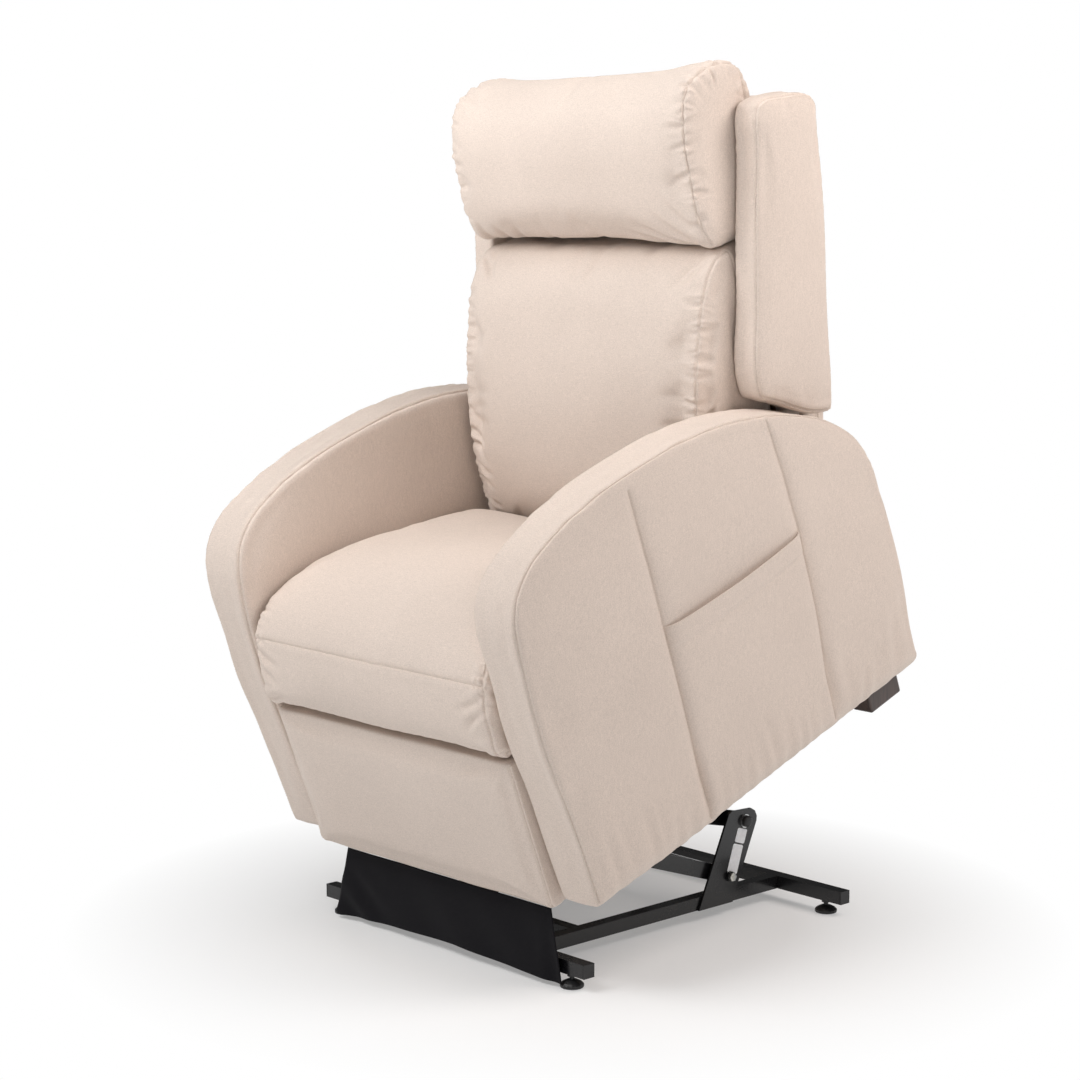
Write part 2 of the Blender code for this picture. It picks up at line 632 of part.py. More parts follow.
def make_handset():
    """A handset with two round push buttons, lying in the right arm's pocket, its keys outwards."""
    face = -CHAIR_WIDTH / 2 + HANDSET_RECESS - GAP - HANDSET_THICK
    body = box("handset", (face, HANDSET_Y - 0.026, HANDSET_LOW), (face + HANDSET_THICK, HANDSET_Y + 0.026,
               HANDSET_HIGH), SEAT, BLACK_PLASTIC, 0.005)
    wells = []
    for name, z in BUTTON_HEIGHTS.items():
        wells.append(cylinder(f"{name}_well", (face - 0.004, HANDSET_Y, z), (face + 0.004, HANDSET_Y, z),
                              BUTTON_RADIUS + 0.0006, SEAT, BLACK_PLASTIC, cutter=True))
        cylinder(name, (face - 0.001, HANDSET_Y, z), (face + 0.0024, HANDSET_Y, z), BUTTON_RADIUS, SEAT,
                 GREY_PLASTIC)
    combine(body, wells, "DIFFERENCE")


# ---------------------------------------------------------------- back


def on_back(points):
    """Side-view points of the seat unit's axes, as measured from the back's hinge."""
    return [(y - BACK_HINGE[0], z - BACK_HINGE[1], *corner) for y, z, *corner in points]


def make_back_frame():
    """A slatted frame leaning with the back, with hinge lugs outside the side plates and a recline lever."""
    leaning = make_empty("back_frame_axis", (0, 0.665 - BACK_HINGE[0], 0.185 - BACK_HINGE[1]), -BACK_LEAN, BACK)
    height = 0.80
    slots = [rectangle((-0.21, z), (0.21, z + 0.085)) for z in (0.14, 0.27, 0.40, 0.53, 0.66)]
    frame = extruded("back_frame", rectangle((-0.262, 0), (0.262, height)), -0.010, 0.010, leaning, PLYWOOD,
                     holes=slots, along="Y")
    frame = to_mesh(frame)
    lugs = []
    running = PIN_RADIUS + PIN_CLEARANCE
    outline = on_back([(0.598, 0.238), (0.622, 0.236), (0.70, 0.262), (0.730, 0.42), (0.713, 0.42), (0.680, 0.29),
                       (0.600, 0.264)])
    for side, sign in both_sides():
        lug = extruded(f"hinge_lug_{side}", outline, *between(sign, PLATE_X + PLATE_THICK + 0.001, 0.004), BACK,
                       BLACK_STEEL, holes=[round_hole((0, 0), running)], cutter=True)
        lugs.append(to_mesh(lug))
    lever = on_back([(0.600, 0.170), (0.612, 0.166), (0.628, 0.176), (0.70, 0.21), (0.70, 0.28), (0.665, 0.28),
                     (0.655, 0.225), (0.602, 0.192)])
    for i, x in enumerate(EAR_OFFSETS):
        ear = extruded(f"lever_ear_{i}", lever, RECLINE_MOTOR_X + x, RECLINE_MOTOR_X + x + EAR_THICK, BACK,
                       BLACK_STEEL, cutter=True)
        lugs.append(to_mesh(ear))
    lugs.append(cylinder("lever_pin", (RECLINE_MOTOR_X - 0.012, 0, -RECLINE_LEVER),
                         (RECLINE_MOTOR_X + 0.012, 0, -RECLINE_LEVER), PIN_RADIUS, BACK, ZINC, cutter=True))
    combine(frame, lugs, "UNION")


def make_back_upholstery():
    """The outer shell, the wings, and the two stacked cushions, as plain solids."""
    shell = on_back([(0.694, 0.150, 1), (0.722, 0.150, 1), (0.919, 0.935), (0.909, 0.958), (0.886, 0.961),
                     (0.880, 0.94)])
    extruded("back_shell", shell, -SEAT_HALF_WIDTH, SEAT_HALF_WIDTH, BACK, FABRIC, smooth=True, round_edge=0.005)
    wing = on_back([(0.634, 0.568), (0.6753, 0.7116), (0.7542, 0.932), (0.786, 0.990), (0.835, 0.991),
                    (0.911, 0.957, 1), (0.8376, 0.6434), (0.787, 0.477, 1), (0.664, 0.540)])
    for side, sign in both_sides():
        extruded(f"wing_{side}", wing, *sorted((sign * (SEAT_HALF_WIDTH + 0.001), sign * WING_OUTER_X)), BACK,
                 FABRIC, smooth=True, round_edge=0.005)
    lower = on_back([(0.520, 0.325), (0.514, 0.37), (0.512, 0.43), (0.522, 0.505), (0.548, 0.60), (0.580, 0.672),
                     (0.632, 0.755), (0.668, 0.782), (0.700, 0.787), (0.784, 0.787, 1), (0.712, 0.44),
                     (0.686, 0.345), (0.660, 0.315), (0.54, 0.312)])
    extruded("lower_back_cushion", lower, -BACK_HALF_WIDTH, BACK_HALF_WIDTH, BACK, FABRIC, smooth=True,
             round_edge=0.012)
    head = on_back([(0.700, 0.800), (0.672, 0.816), (0.655, 0.86), (0.652, 0.917), (0.664, 0.99), (0.692, 1.040),
                    (0.735, 1.056), (0.785, 1.053), (0.820, 1.035), (0.840, 0.995), (0.836, 0.95),
                    (0.800, 0.800, 1)])
    extruded("head_cushion", head, -BACK_HALF_WIDTH, BACK_HALF_WIDTH, BACK, FABRIC, smooth=True, round_edge=0.012)


def make_recline_motor():
    lever_pin = (BACK_HINGE[0], BACK_HINGE[1] - RECLINE_LEVER)
    make_actuator("recline", RECLINE_MOTOR_X, RECLINE_MOTOR_PIVOT, lever_pin, PIN_RADIUS + PIN_CLEARANCE,
                  0.0088, 0.12, SEAT)


# ---------------------------------------------------------------- footrest


def make_footrest_links():
    """On each side: a main link on the drive tube, a second link from its elbow to the panel, a brace link."""
    running = RIVET_RADIUS + PIN_CLEARANCE
    wide = FOOTREST_LINK_HALF_WIDTH
    elbow, pin = Vector(FOOTREST_ELBOW), Vector(FOOTREST_PIN)
    tail = elbow + (elbow - pin).normalized() * FOOTREST_LINK_TAIL
    for side, sign in both_sides():
        link(f"footrest_main_link_{side}", DRIVE_TUBE, FOOTREST_ELBOW, (sign, MAIN_LINK_X), FOOTREST_LINK_THICK,
             0.0125, DRIVE_TUBE_RADIUS + 0.0006, running, SEAT)
        second = extruded(f"footrest_second_link_{side}", bar_outline(tuple(tail), FOOTREST_PIN, wide),
                          *between(sign, SECOND_LINK_X, FOOTREST_LINK_THICK), SEAT, BLACK_STEEL,
                          origin=FOOTREST_ELBOW)
        second = to_mesh(second)
        inner = (MAIN_LINK_X - 0.001, SECOND_LINK_X + 0.001)
        outer = (SECOND_LINK_X + 0.001, BRACE_LINK_X + FOOTREST_LINK_THICK + 0.001)
        rivets = []
        for i, ((y, z), (x_low, x_high)) in enumerate(((elbow, inner), (tail, outer), (pin, outer))):
            rivets.append(cylinder(f"footrest_rivet_{side}_{i}", (sign * x_low, y, z), (sign * x_high, y, z),
                                   RIVET_RADIUS, SEAT, ZINC, cutter=True))
        combine(second, rivets, "UNION")
        link(f"footrest_brace_link_{side}", BRACE_PIVOT, tuple(tail), (sign, BRACE_LINK_X), FOOTREST_LINK_THICK,
             wide, PIN_RADIUS + PIN_CLEARANCE, RIVET_RADIUS + BRACE_OPEN_CLEARANCE, SEAT)


def make_drive_tube():
    end = MAIN_LINK_X + FOOTREST_LINK_THICK + 0.0005
    cylinder("footrest_drive_tube", (-end, *DRIVE_TUBE), (end, *DRIVE_TUBE), DRIVE_TUBE_RADIUS, SEAT, BLACK_STEEL)


def make_footrest_panel():
    """A board with a lug on each side for the second links, and the upholstered pad on its front."""
    front = 0.009
    axis = make_empty("footrest_panel_axis", (0, *FOOTREST_PIN), 0, SEAT)
    low_z, high_z = FOOTREST_BOTTOM - FOOTREST_PIN[1], FOOTREST_TOP - FOOTREST_PIN[1]
    board = box("footrest_board", (-0.272, front - FOOTREST_PIN[0], low_z + 0.010),
                (0.272, 0.021 - FOOTREST_PIN[0], high_z - 0.010), axis, PLYWOOD)
    outline = [(-0.036, -0.030), (-0.027, -0.026), (0.004, -0.011), (0.011, -0.004), (0.011, 0.005),
               (0.004, 0.011), (-0.027, 0.026), (-0.036, 0.030)]
    lugs = []
    for side, sign in both_sides():
        lug = extruded(f"footrest_lug_{side}", outline, *between(sign, BRACE_LINK_X, FOOTREST_LINK_THICK), axis,
                       BLACK_STEEL, holes=[round_hole((0, 0), RIVET_RADIUS + PIN_CLEARANCE)], cutter=True)
        lugs.append(to_mesh(lug))
    combine(board, lugs, "UNION")
    y = front - GAP - FOOTREST_PIN[0]
    box("footrest_pad", (-SEAT_HALF_WIDTH, y - 0.031, low_z), (SEAT_HALF_WIDTH, y, high_z), axis, FABRIC, 0.008)


def build():
    make_base_tubes()
    make_levelling_feet()
    make_brackets()
    make_upper_pivot_bolts()
    make_motor_cross_member()
    make_skirt()
    make_lift_links()
    make_lift_tube()
    make_torque_tube()
    make_lift_motor()
    make_side_plates()
    make_seat_rails()
    make_seat_platform()
    make_control_box()
    make_seat_cushion()
    make_arms()
    make_handset()
    make_back_frame()
    make_back_upholstery()
    make_recline_motor()
    make_drive_tube()
    make_footrest_links()
    make_footrest_panel()


build()
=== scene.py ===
"""A lift recliner chair: its upholstery, finishes and studio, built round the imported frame.

Soft pieces are drawn in the seat's own axes (x across, y back, z up, tilted as the raised seat is), filled by
a cloth simulation, given their seams, gathers and stitches, and then moved into the row frame.
"""

import json
import math

import bmesh
import bpy
import numpy as np
from mathutils import Matrix, Vector
from mathutils.bvhtree import BVHTree
from mathutils.kdtree import KDTree


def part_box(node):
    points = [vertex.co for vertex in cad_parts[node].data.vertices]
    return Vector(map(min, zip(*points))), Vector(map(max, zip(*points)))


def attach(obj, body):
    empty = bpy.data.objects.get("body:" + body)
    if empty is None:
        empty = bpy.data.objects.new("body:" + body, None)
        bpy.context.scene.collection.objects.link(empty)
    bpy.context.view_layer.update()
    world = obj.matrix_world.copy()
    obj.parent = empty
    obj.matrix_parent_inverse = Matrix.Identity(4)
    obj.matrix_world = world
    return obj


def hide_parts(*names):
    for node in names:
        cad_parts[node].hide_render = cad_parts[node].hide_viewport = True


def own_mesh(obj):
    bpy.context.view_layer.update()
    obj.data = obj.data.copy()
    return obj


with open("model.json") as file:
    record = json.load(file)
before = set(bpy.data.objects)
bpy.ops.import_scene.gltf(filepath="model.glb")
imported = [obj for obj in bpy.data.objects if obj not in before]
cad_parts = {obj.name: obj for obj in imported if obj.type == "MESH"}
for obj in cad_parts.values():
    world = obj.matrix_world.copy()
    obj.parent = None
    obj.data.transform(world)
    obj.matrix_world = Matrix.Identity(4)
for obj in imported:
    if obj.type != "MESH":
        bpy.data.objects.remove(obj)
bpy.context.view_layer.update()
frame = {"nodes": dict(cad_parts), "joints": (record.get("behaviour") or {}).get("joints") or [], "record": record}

SEAT_TILT = math.radians(20.7)
TILT_PIN = (0.0805, 0.0363)  # the seat_tilt pivot, in the seat's own y and z
SEAT_HALF = 0.284
BACK_HALF = 0.278
ARM_INNER = 0.292
ARM_OUTER = 0.380
WING_INNER = 0.2855
WING_OUTER = 0.335
TOUCH = 0.2905  # how far the seat may swell sideways before the arms flatten it
BACK_TOUCH = 0.2845  # and the back, before the wings do


def seat_matrix():
    pin = next(j["pos_m"] for j in frame["joints"] if j["name"] == "seat_tilt")
    turn = Matrix.Rotation(SEAT_TILT, 4, "X")
    return Matrix.Translation(Vector(pin) - turn @ Vector((0, *TILT_PIN))) @ turn


SEAT = seat_matrix()

# ---------------------------------------------------------------------------------------------- outlines
# Side views in the seat's y and z, in metres. A third value of 1 marks a corner.
ARM = [(0, 0, 1), (0, 0.455), (0.010, 0.508), (0.040, 0.550), (0.10, 0.5786), (0.20, 0.597),
       (0.32, 0.6016), (0.44, 0.593), (0.56, 0.566), (0.66, 0.526), (0.738, 0.473), (0.790, 0.405),
       (0.808, 0.32), (0.806, 0, 1)]
SEAT_PAD = [(0.024, 0.2975, 1), (0.024, 0.2565, 1), (-0.020, 0.2535), (-0.034, 0.262), (-0.0375, 0.30),
            (-0.036, 0.345), (-0.028, 0.384), (-0.008, 0.410), (0.030, 0.430), (0.087, 0.445),
            (0.16, 0.449), (0.24, 0.439), (0.338, 0.414), (0.42, 0.390), (0.477, 0.371), (0.500, 0.352),
            (0.504, 0.335), (0.504, 0.2975, 1)]
WING = [(0.6310, 0.5765), (0.6753, 0.7116), (0.7202, 0.8425), (0.7542, 0.932), (0.7785, 0.9945),
        (0.7885, 0.9990), (0.833, 0.993), (0.906, 0.9665), (0.915, 0.9540, 1), (0.8817, 0.799),
        (0.8376, 0.6434), (0.8013, 0.5174), (0.7870, 0.474, 1), (0.776, 0.474), (0.650, 0.5480),
        (0.633, 0.5600)]
LOWER_BACK = [(0.520, 0.325), (0.514, 0.37), (0.512, 0.43), (0.522, 0.505), (0.548, 0.60), (0.580, 0.672),
              (0.632, 0.757), (0.668, 0.785), (0.700, 0.790), (0.784, 0.790, 1), (0.712, 0.44),
              (0.686, 0.345), (0.660, 0.315), (0.54, 0.312)]
HEAD = [(0.700, 0.793), (0.668, 0.801), (0.651, 0.84), (0.652, 0.917), (0.664, 0.99), (0.692, 1.040),
        (0.735, 1.056), (0.785, 1.053), (0.820, 1.035), (0.840, 0.995), (0.836, 0.95), (0.798, 0.793, 1)]
BACK_SHELL = [(0.694, 0.150, 1), (0.722, 0.150, 1), (0.919, 0.935), (0.909, 0.958), (0.893, 0.976),
              (0.862, 0.980), (0.848, 0.974), (0.850, 0.9645, 1), (0.8795, 0.9635, 1)]
BACK_BORDER = [(0.7135, 0.440, 1), (0.7585, 0.440, 1), (0.8745, 0.950, 1), (0.8385, 0.955, 1)]
FOOTREST = [(-0.0223, -0.015, 1), (-0.0223, 0.2495, 1), (0.0208, 0.2495, 1), (0.0208, -0.015, 1)]
# The outer face's seams, as (y, z) from the bottom up.
FRONT_SEAM = [(0.257, 0.0), (0.262, 0.15), (0.266, 0.35), (0.271, 0.585)]
REAR_SEAM = [(0.576, 0.0), (0.590, 0.20), (0.596, 0.35), (0.592, 0.46), (0.586, 0.556)]
# How far each height of an arm's front stands out, as (z, share of BULGE).
BULGE = 0.014
BULGE_AT = [(0.0, 0.25), (0.10, 0.40), (0.20, 0.65), (0.29, 0.95), (0.35, 1.0), (0.44, 1.0), (0.52, 0.85),
            (0.58, 0.15), (0.62, 0.0)]
HANDSET = (0.430, 0.265, 0.415)  # its middle in y, and its ends in z
POCKET_TOP = 0.346
POCKET_HEM = 0.038
SKIRT_FOOT = (-0.271, 0.278)  # the skirt's ends in x along the floor, and along its top
SKIRT_HEAD = (-0.242, 0.258)
# Corners of the two labels, in the row's y and z.
LABELS = {"bracket_label_upper": [(0.2263, 0.1499), (0.2494, 0.1429), (0.2409, 0.1191), (0.2179, 0.1269)],
          "bracket_label_lower": [(0.2154, 0.1244), (0.2392, 0.1169), (0.2233, 0.0687), (0.1994, 0.0775)]}


def unit(v):
    return v / np.maximum(np.linalg.norm(v, axis=-1, keepdims=True), 1e-12)


def outline(points, step=0.006):
    """A closed (n, 2) line through the points, smooth except at corners, with points about a step apart."""
    at = [np.array(p[:2], float) for p in points]
    corner = [len(p) > 2 for p in points]
    n = len(at)

    def slope(i):
        return 1.171 * unit(unit(at[i] - at[i - 1]) + unit(at[(i + 1) % n] - at[i]))

    line = []
    for i in range(n):
        j = (i + 1) % n
        run = at[j] - at[i]
        chord = np.linalg.norm(run)
        leave = run if corner[i] else slope(i) * chord
        reach = run if corner[j] else slope(j) * chord
        t = np.linspace(0, 1, max(2, math.ceil(chord / step)) + 1)[:-1, None]
        line.append((2 * t**3 - 3 * t**2 + 1) * at[i] + (t**3 - 2 * t**2 + t) * leave
                    + (3 * t**2 - 2 * t**3) * at[j] + (t**3 - t**2) * reach)
    return np.concatenate(line)


def outward(line):
    """Unit normals that point out of a closed (n, 2) line, whichever way it runs."""
    along = unit(np.roll(line, -1, 0) - np.roll(line, 1, 0))
    turned = np.column_stack([along[:, 1], -along[:, 0]])
    area = np.sum(line[:, 0] * np.roll(line[:, 1], -1) - np.roll(line[:, 0], -1) * line[:, 1])
    return turned if area > 0 else -turned


def sweep(line, low, high, edge, crown=0.0):
    """Points and faces of the outline carried across x from low to high, its rims rounded by edge.
    crown is how far its middle stands out beyond the outline."""
    normals = outward(line)
    middle, half = (low + high) / 2, (high - low) / 2
    turn = np.linspace(0, math.pi / 2, 5)[1:]
    flat = np.linspace(-(half - edge), half - edge, max(2, int(2 * (half - edge) / 0.02)))
    across = [*(-(half - edge + edge * np.sin(turn[::-1]))), *flat, *(half - edge + edge * np.sin(turn))]
    inset = [*(edge * (1 - np.cos(turn[::-1]))), *(np.zeros(len(flat))), *(edge * (1 - np.cos(turn)))]
    n, points, faces = len(line), [], []
    for x, cut in zip(across, inset):
        out = crown * (1 - (x / half) ** 2) - cut
        points.append(np.column_stack([np.full(n, middle + x), line + normals * out]))
    for ring in range(len(across) - 1):
        for i in range(n):
            j = (i + 1) % n
            faces.append((ring * n + i, ring * n + j, (ring + 1) * n + j, (ring + 1) * n + i))
    faces.append(tuple(range(n)))
    faces.append(tuple(range((len(across) - 1) * n, len(across) * n))[::-1])
    return np.concatenate(points), faces


def rim(line, x, inset, keep):
    """The part of the outline that keep(y, z) is true for, inset and laid at x, as (n, 3)."""
    at = line - outward(line) * inset
    held = keep(at[:, 0], at[:, 1])
    if not held.all():  # start just after the gap, so that the part runs without a jump
        first = next(i for i in range(len(held)) if held[i] and not held[i - 1])
        at, held = np.roll(at, -first, 0), np.roll(held, -first)
    at = at[held]
    return np.column_stack([np.full(len(at), x), at])


def resampled(path, step=0.002):
    path = np.asarray(path, float)
    run = np.concatenate([[0], np.cumsum(np.linalg.norm(np.diff(path, axis=0), axis=1))])
    at = np.linspace(0, run[-1], max(2, int(run[-1] / step)))
    return np.column_stack([np.interp(at, run, path[:, k]) for k in range(3)])


def smoothed(values, rounds):
    for _ in range(rounds):
        values[1:-1] = (values[:-2] + 2 * values[1:-1] + values[2:]) / 4
    return values


# ---------------------------------------------------------------------------------------------- meshes
def mesh_object(name, points, faces, smooth=True):
    mesh = bpy.data.meshes.new(name)
    mesh.from_pydata([tuple(p) for p in points], [], [tuple(f) for f in faces])
    mesh.validate()
    obj = bpy.data.objects.new(name, mesh)
    bpy.context.scene.collection.objects.link(obj)
    outward_faces(mesh)
    mesh.polygons.foreach_set("use_smooth", [smooth] * len(mesh.polygons))
    return obj


def grid_faces(rows, columns):
    n = columns + 1
    return [(j * n + i, j * n + i + 1, (j + 1) * n + i + 1, (j + 1) * n + i)
            for j in range(rows) for i in range(columns)]


def outward_faces(mesh):
    work = bmesh.new()
    work.from_mesh(mesh)
    bmesh.ops.recalc_face_normals(work, faces=work.faces)
    work.to_mesh(mesh)
    work.free()


def apply_modifiers(obj):
    bpy.context.view_layer.update()
    graph = bpy.context.evaluated_depsgraph_get()
    made = bpy.data.meshes.new_from_object(obj.evaluated_get(graph))
    obj.modifiers.clear()
    obj.data = made
    made.polygons.foreach_set("use_smooth", [True] * len(made.polygons))


def positions(obj):
    at = np.empty(len(obj.data.vertices) * 3)
    obj.data.vertices.foreach_get("co", at)
    return at.reshape(-1, 3)


def place(obj, at):
    obj.data.vertices.foreach_set("co", at.ravel())
    obj.data.update()


def clipped(obj, axis, low=-np.inf, high=np.inf):
    """Keeps the piece's points between low and high along one axis."""
    at = positions(obj)
    at[:, axis] = np.clip(at[:, axis], low, high)
    place(obj, at)


def normals_of(obj):
    at = np.empty(len(obj.data.vertices) * 3, np.float32)
    obj.data.vertex_normals.foreach_get("vector", at)
    return at.reshape(-1, 3).astype(float)


def remesh(obj, voxel):
    made = obj.modifiers.new("Remesh", "REMESH")
    made.mode = "VOXEL"
    made.voxel_size = voxel
    apply_modifiers(obj)


def relax(obj, rounds):
    made = obj.modifiers.new("Smooth", "SMOOTH")
    made.factor, made.iterations = 0.5, rounds
    apply_modifiers(obj)


def subdivide(obj):
    made = obj.modifiers.new("Subdivision", "SUBSURF")
    made.levels = made.render_levels = 1
    apply_modifiers(obj)


def surface(obj):
    return BVHTree.FromPolygons([v.co for v in obj.data.vertices], [p.vertices for p in obj.data.polygons])


def inflate(obj, pressure, cap, held):
    """Fills the piece as a cushion is filled: cloth under pressure, still where held is true, and no point
    moving further than cap."""
    start = positions(obj)
    group = obj.vertex_groups.new(name="held")
    group.add([int(i) for i in np.flatnonzero(held)], 1.0, "REPLACE")
    cloth = obj.modifiers.new("Cloth", "CLOTH")
    cloth.settings.quality = 4
    cloth.settings.mass = 0.3
    cloth.settings.tension_stiffness = cloth.settings.compression_stiffness = 12
    cloth.settings.shear_stiffness = 5
    cloth.settings.bending_stiffness = 0.6
    cloth.settings.use_pressure = True
    cloth.settings.uniform_pressure_force = pressure
    cloth.settings.effector_weights.gravity = 0
    cloth.settings.vertex_group_mass = "held"
    cloth.settings.pin_stiffness = 1
    cloth.collision_settings.use_collision = False
    cloth.point_cache.frame_start, cloth.point_cache.frame_end = 1, 20
    for number in range(1, 21):
        bpy.context.scene.frame_set(number)
    graph = bpy.context.evaluated_depsgraph_get()
    made = bpy.data.meshes.new_from_object(obj.evaluated_get(graph))
    obj.modifiers.clear()
    obj.data = made
    obj.vertex_groups.clear()
    bpy.context.scene.frame_set(1)
    moved = positions(obj) - start
    length = np.linalg.norm(moved, axis=1)
    length = np.where(np.isfinite(length), length, 0)
    share = np.tanh(length / cap) * cap / np.maximum(length, 1e-9)
    place(obj, start + np.where(np.isfinite(moved), moved, 0) * share[:, None])


# ---------------------------------------------------------------------------------------------- seams
class Seam:
    """A sewn line that lies on a piece's surface. look(points) says where points are from it."""

    def __init__(self, path, tree):
        path = resampled(path)
        near = [tree.find_nearest(Vector(p)) for p in path]
        self.at = smoothed(np.array([hit[0] for hit in near], float), 4)
        self.normal = unit(smoothed(np.array([hit[1] for hit in near], float), 12))
        self.along = unit(np.gradient(self.at, axis=0))
        self.across = unit(np.cross(self.normal, self.along))
        step = np.linalg.norm(np.diff(self.at, axis=0), axis=1)
        self.run = np.concatenate([[0], np.cumsum(step)])
        self.length = self.run[-1]
        self.near = KDTree(len(self.at))
        for i, p in enumerate(self.at):
            self.near.insert(p, i)
        self.near.balance()

    def look(self, at, reach):
        """For the points within reach: their indices, the signed distance across the seam, the run along it,
        the distance past its ends and the nearest of its own points."""
        low, high = self.at.min(0) - reach, self.at.max(0) + reach
        some = np.flatnonzero(((at > low) & (at < high)).all(1))
        found = [self.near.find(p)[1:] for p in at[some]]
        nearest = np.array([f[0] for f in found], int)
        away = np.array([f[1] for f in found])
        close = away < reach
        some, nearest = some[close], nearest[close]
        gap = at[some] - self.at[nearest]
        across = (gap * self.across[nearest]).sum(1)
        past = (gap * self.along[nearest]).sum(1)
        depth = (gap * self.normal[nearest]).sum(1)
        level = np.abs(depth) < 0.018
        return (some[level], across[level], (self.run[nearest] + past)[level],
                np.where(np.abs(past) > 0.0015, past, 0)[level], nearest[level])

    def point(self, run, across=0.0):
        i = int(np.clip(np.searchsorted(self.run, run), 0, len(self.run) - 1))
        return self.at[i] + self.across[i] * across


def bell(x, width):
    return np.exp(-((x / width) ** 2))


def sew(at, out, seam, depth=0.0028, width=0.0042, puff=0.0012, spread=0.013):
    """Adds to out, the movement along the normals, a seam's valley and the fabric that puffs beside it."""
    some, across, _, past, _ = seam.look(at, 0.04)
    away = np.hypot(across, past)
    out[some] += puff * bell(away - spread, spread * 0.6) - depth * bell(away, width)


def gathers(at, out, seam, rng, spacing, reach=0.035, depth=0.0022, width=0.0045, start=0.0, end=None,
            lean=0.25, strength=None):
    """Small folds that run out from a seam, as pulled thread makes them."""
    end = seam.length if end is None else end
    some, across, run, past, _ = seam.look(at, reach * 1.7)
    order = np.argsort(run)
    some, across, run, past = some[order], across[order], run[order], past[order]
    place_at = start
    while place_at < end:
        place_at += spacing * rng.uniform(0.6, 1.4)
        scale = 1.0 if strength is None else strength(place_at / seam.length)
        for side in (1, -1):
            long = reach * rng.uniform(0.5, 1.35)
            deep = depth * rng.uniform(0.45, 1.2) * scale
            tilt = rng.normal(0.0, lean)
            curve = rng.normal(0, 5.0)
            wide = width * rng.uniform(0.7, 1.4)
            middle = place_at + rng.normal(0, 0.002)
            near = slice(*np.searchsorted(run, (middle - long - 0.02, middle + long + 0.02)))
            d = across[near] * side
            t = d / long
            line = run[near] - middle - tilt * d - curve * d * d
            fade = np.where((t > 0) & (t < 1), np.clip(1 - t, 0, 1) ** 1.3 * np.clip(d / 0.005, 0, 1), 0)
            ridges = 0.55 * bell(line - 1.9 * wide, wide) + 0.4 * bell(line + 1.9 * wide, wide)
            out[some[near]] += deep * fade * (ridges - bell(line, wide)) * (np.abs(past[near]) < 0.004)


def folds(at, out, normals, lines):
    """Longer folds, each (from, to, width, depth, bend): a valley with a soft ridge on each side of it."""
    for begin, finish, width, depth, bend in lines:
        a, b = np.array(begin, float), np.array(finish, float)
        run = b - a
        length = np.linalg.norm(run)
        along = run / length
        gap = at - a
        t = (gap @ along) / length
        near = np.flatnonzero((t > -0.15) & (t < 1.15))
        gap, t = gap[near], t[near]
        side = unit(np.cross(normals[near], along))
        away = gap - np.outer(t * length, along)
        across = (away * side).sum(1) - bend * 4 * t * (1 - t)
        depth_off = np.abs((away * normals[near]).sum(1))
        fade = np.sin(math.pi * np.clip((t + 0.15) / 1.3, 0, 1)) ** 1.2 * bell(depth_off, 0.03)
        fold = -bell(across, width) + 0.5 * bell(across - 2 * width, width * 1.1) \
            + 0.4 * bell(across + 2 * width, width * 1.1)
        out[near] += depth * fade * fold


def lumps(at, out, size, height, seed):
    """Slow, shallow unevenness, so that no stuffed face is perfectly even."""
    rng = np.random.default_rng(seed)
    for _ in range(9):
        direction = unit(rng.normal(size=3))
        wave = size * rng.uniform(0.6, 1.7)
        out += height * rng.uniform(0.3, 1.0) / 3 * np.sin(at @ direction * 2 * math.pi / wave
                                                          + rng.uniform(0, 2 * math.pi))


def displace(obj, out):
    place(obj, positions(obj) + normals_of(obj) * out[:, None])


def stitches(name, rows, tree, thread=0.00042, long=0.0030, pitch=0.0043):
    """Topstitching: a small round-ended thread for each stitch. rows are (seam, across, start, end)."""
    ring = [(math.cos(a), math.sin(a)) for a in np.linspace(0, 2 * math.pi, 6, endpoint=False)]
    shape = [(-0.5, 0.30, -0.35), (-0.40, 0.85, 0.1), (0.0, 1.0, 0.45), (0.40, 0.85, 0.1), (0.5, 0.30, -0.35)]
    points, faces = [], []
    for seam, across, start, end in rows:
        run = start
        while run < end:
            i = int(np.clip(np.searchsorted(seam.run, run), 1, len(seam.run) - 2))
            run += pitch
            hit, normal, _, _ = tree.find_nearest(Vector(seam.at[i] + seam.across[i] * across))
            if hit is None:
                continue
            normal, along = np.array(normal), seam.along[i]
            along = unit(along - normal * (along @ normal))
            side = np.cross(normal, along)
            first = len(points)
            for place_on, size, lift in shape:
                centre = np.array(hit) + along * place_on * long + normal * thread * lift
                points += [centre + (side * c + normal * s) * thread * size for c, s in ring]
            for k in range(len(shape) - 1):
                for m in range(6):
                    a, b = first + k * 6 + m, first + k * 6 + (m + 1) % 6
                    faces.append((a, b, b + 6, a + 6))
            faces.append(tuple(first + m for m in range(6))[::-1])
            faces.append(tuple(first + (len(shape) - 1) * 6 + m for m in range(6)))
    obj = mesh_object(name, points, faces)
    obj.data.materials.append(THREAD)
    return obj


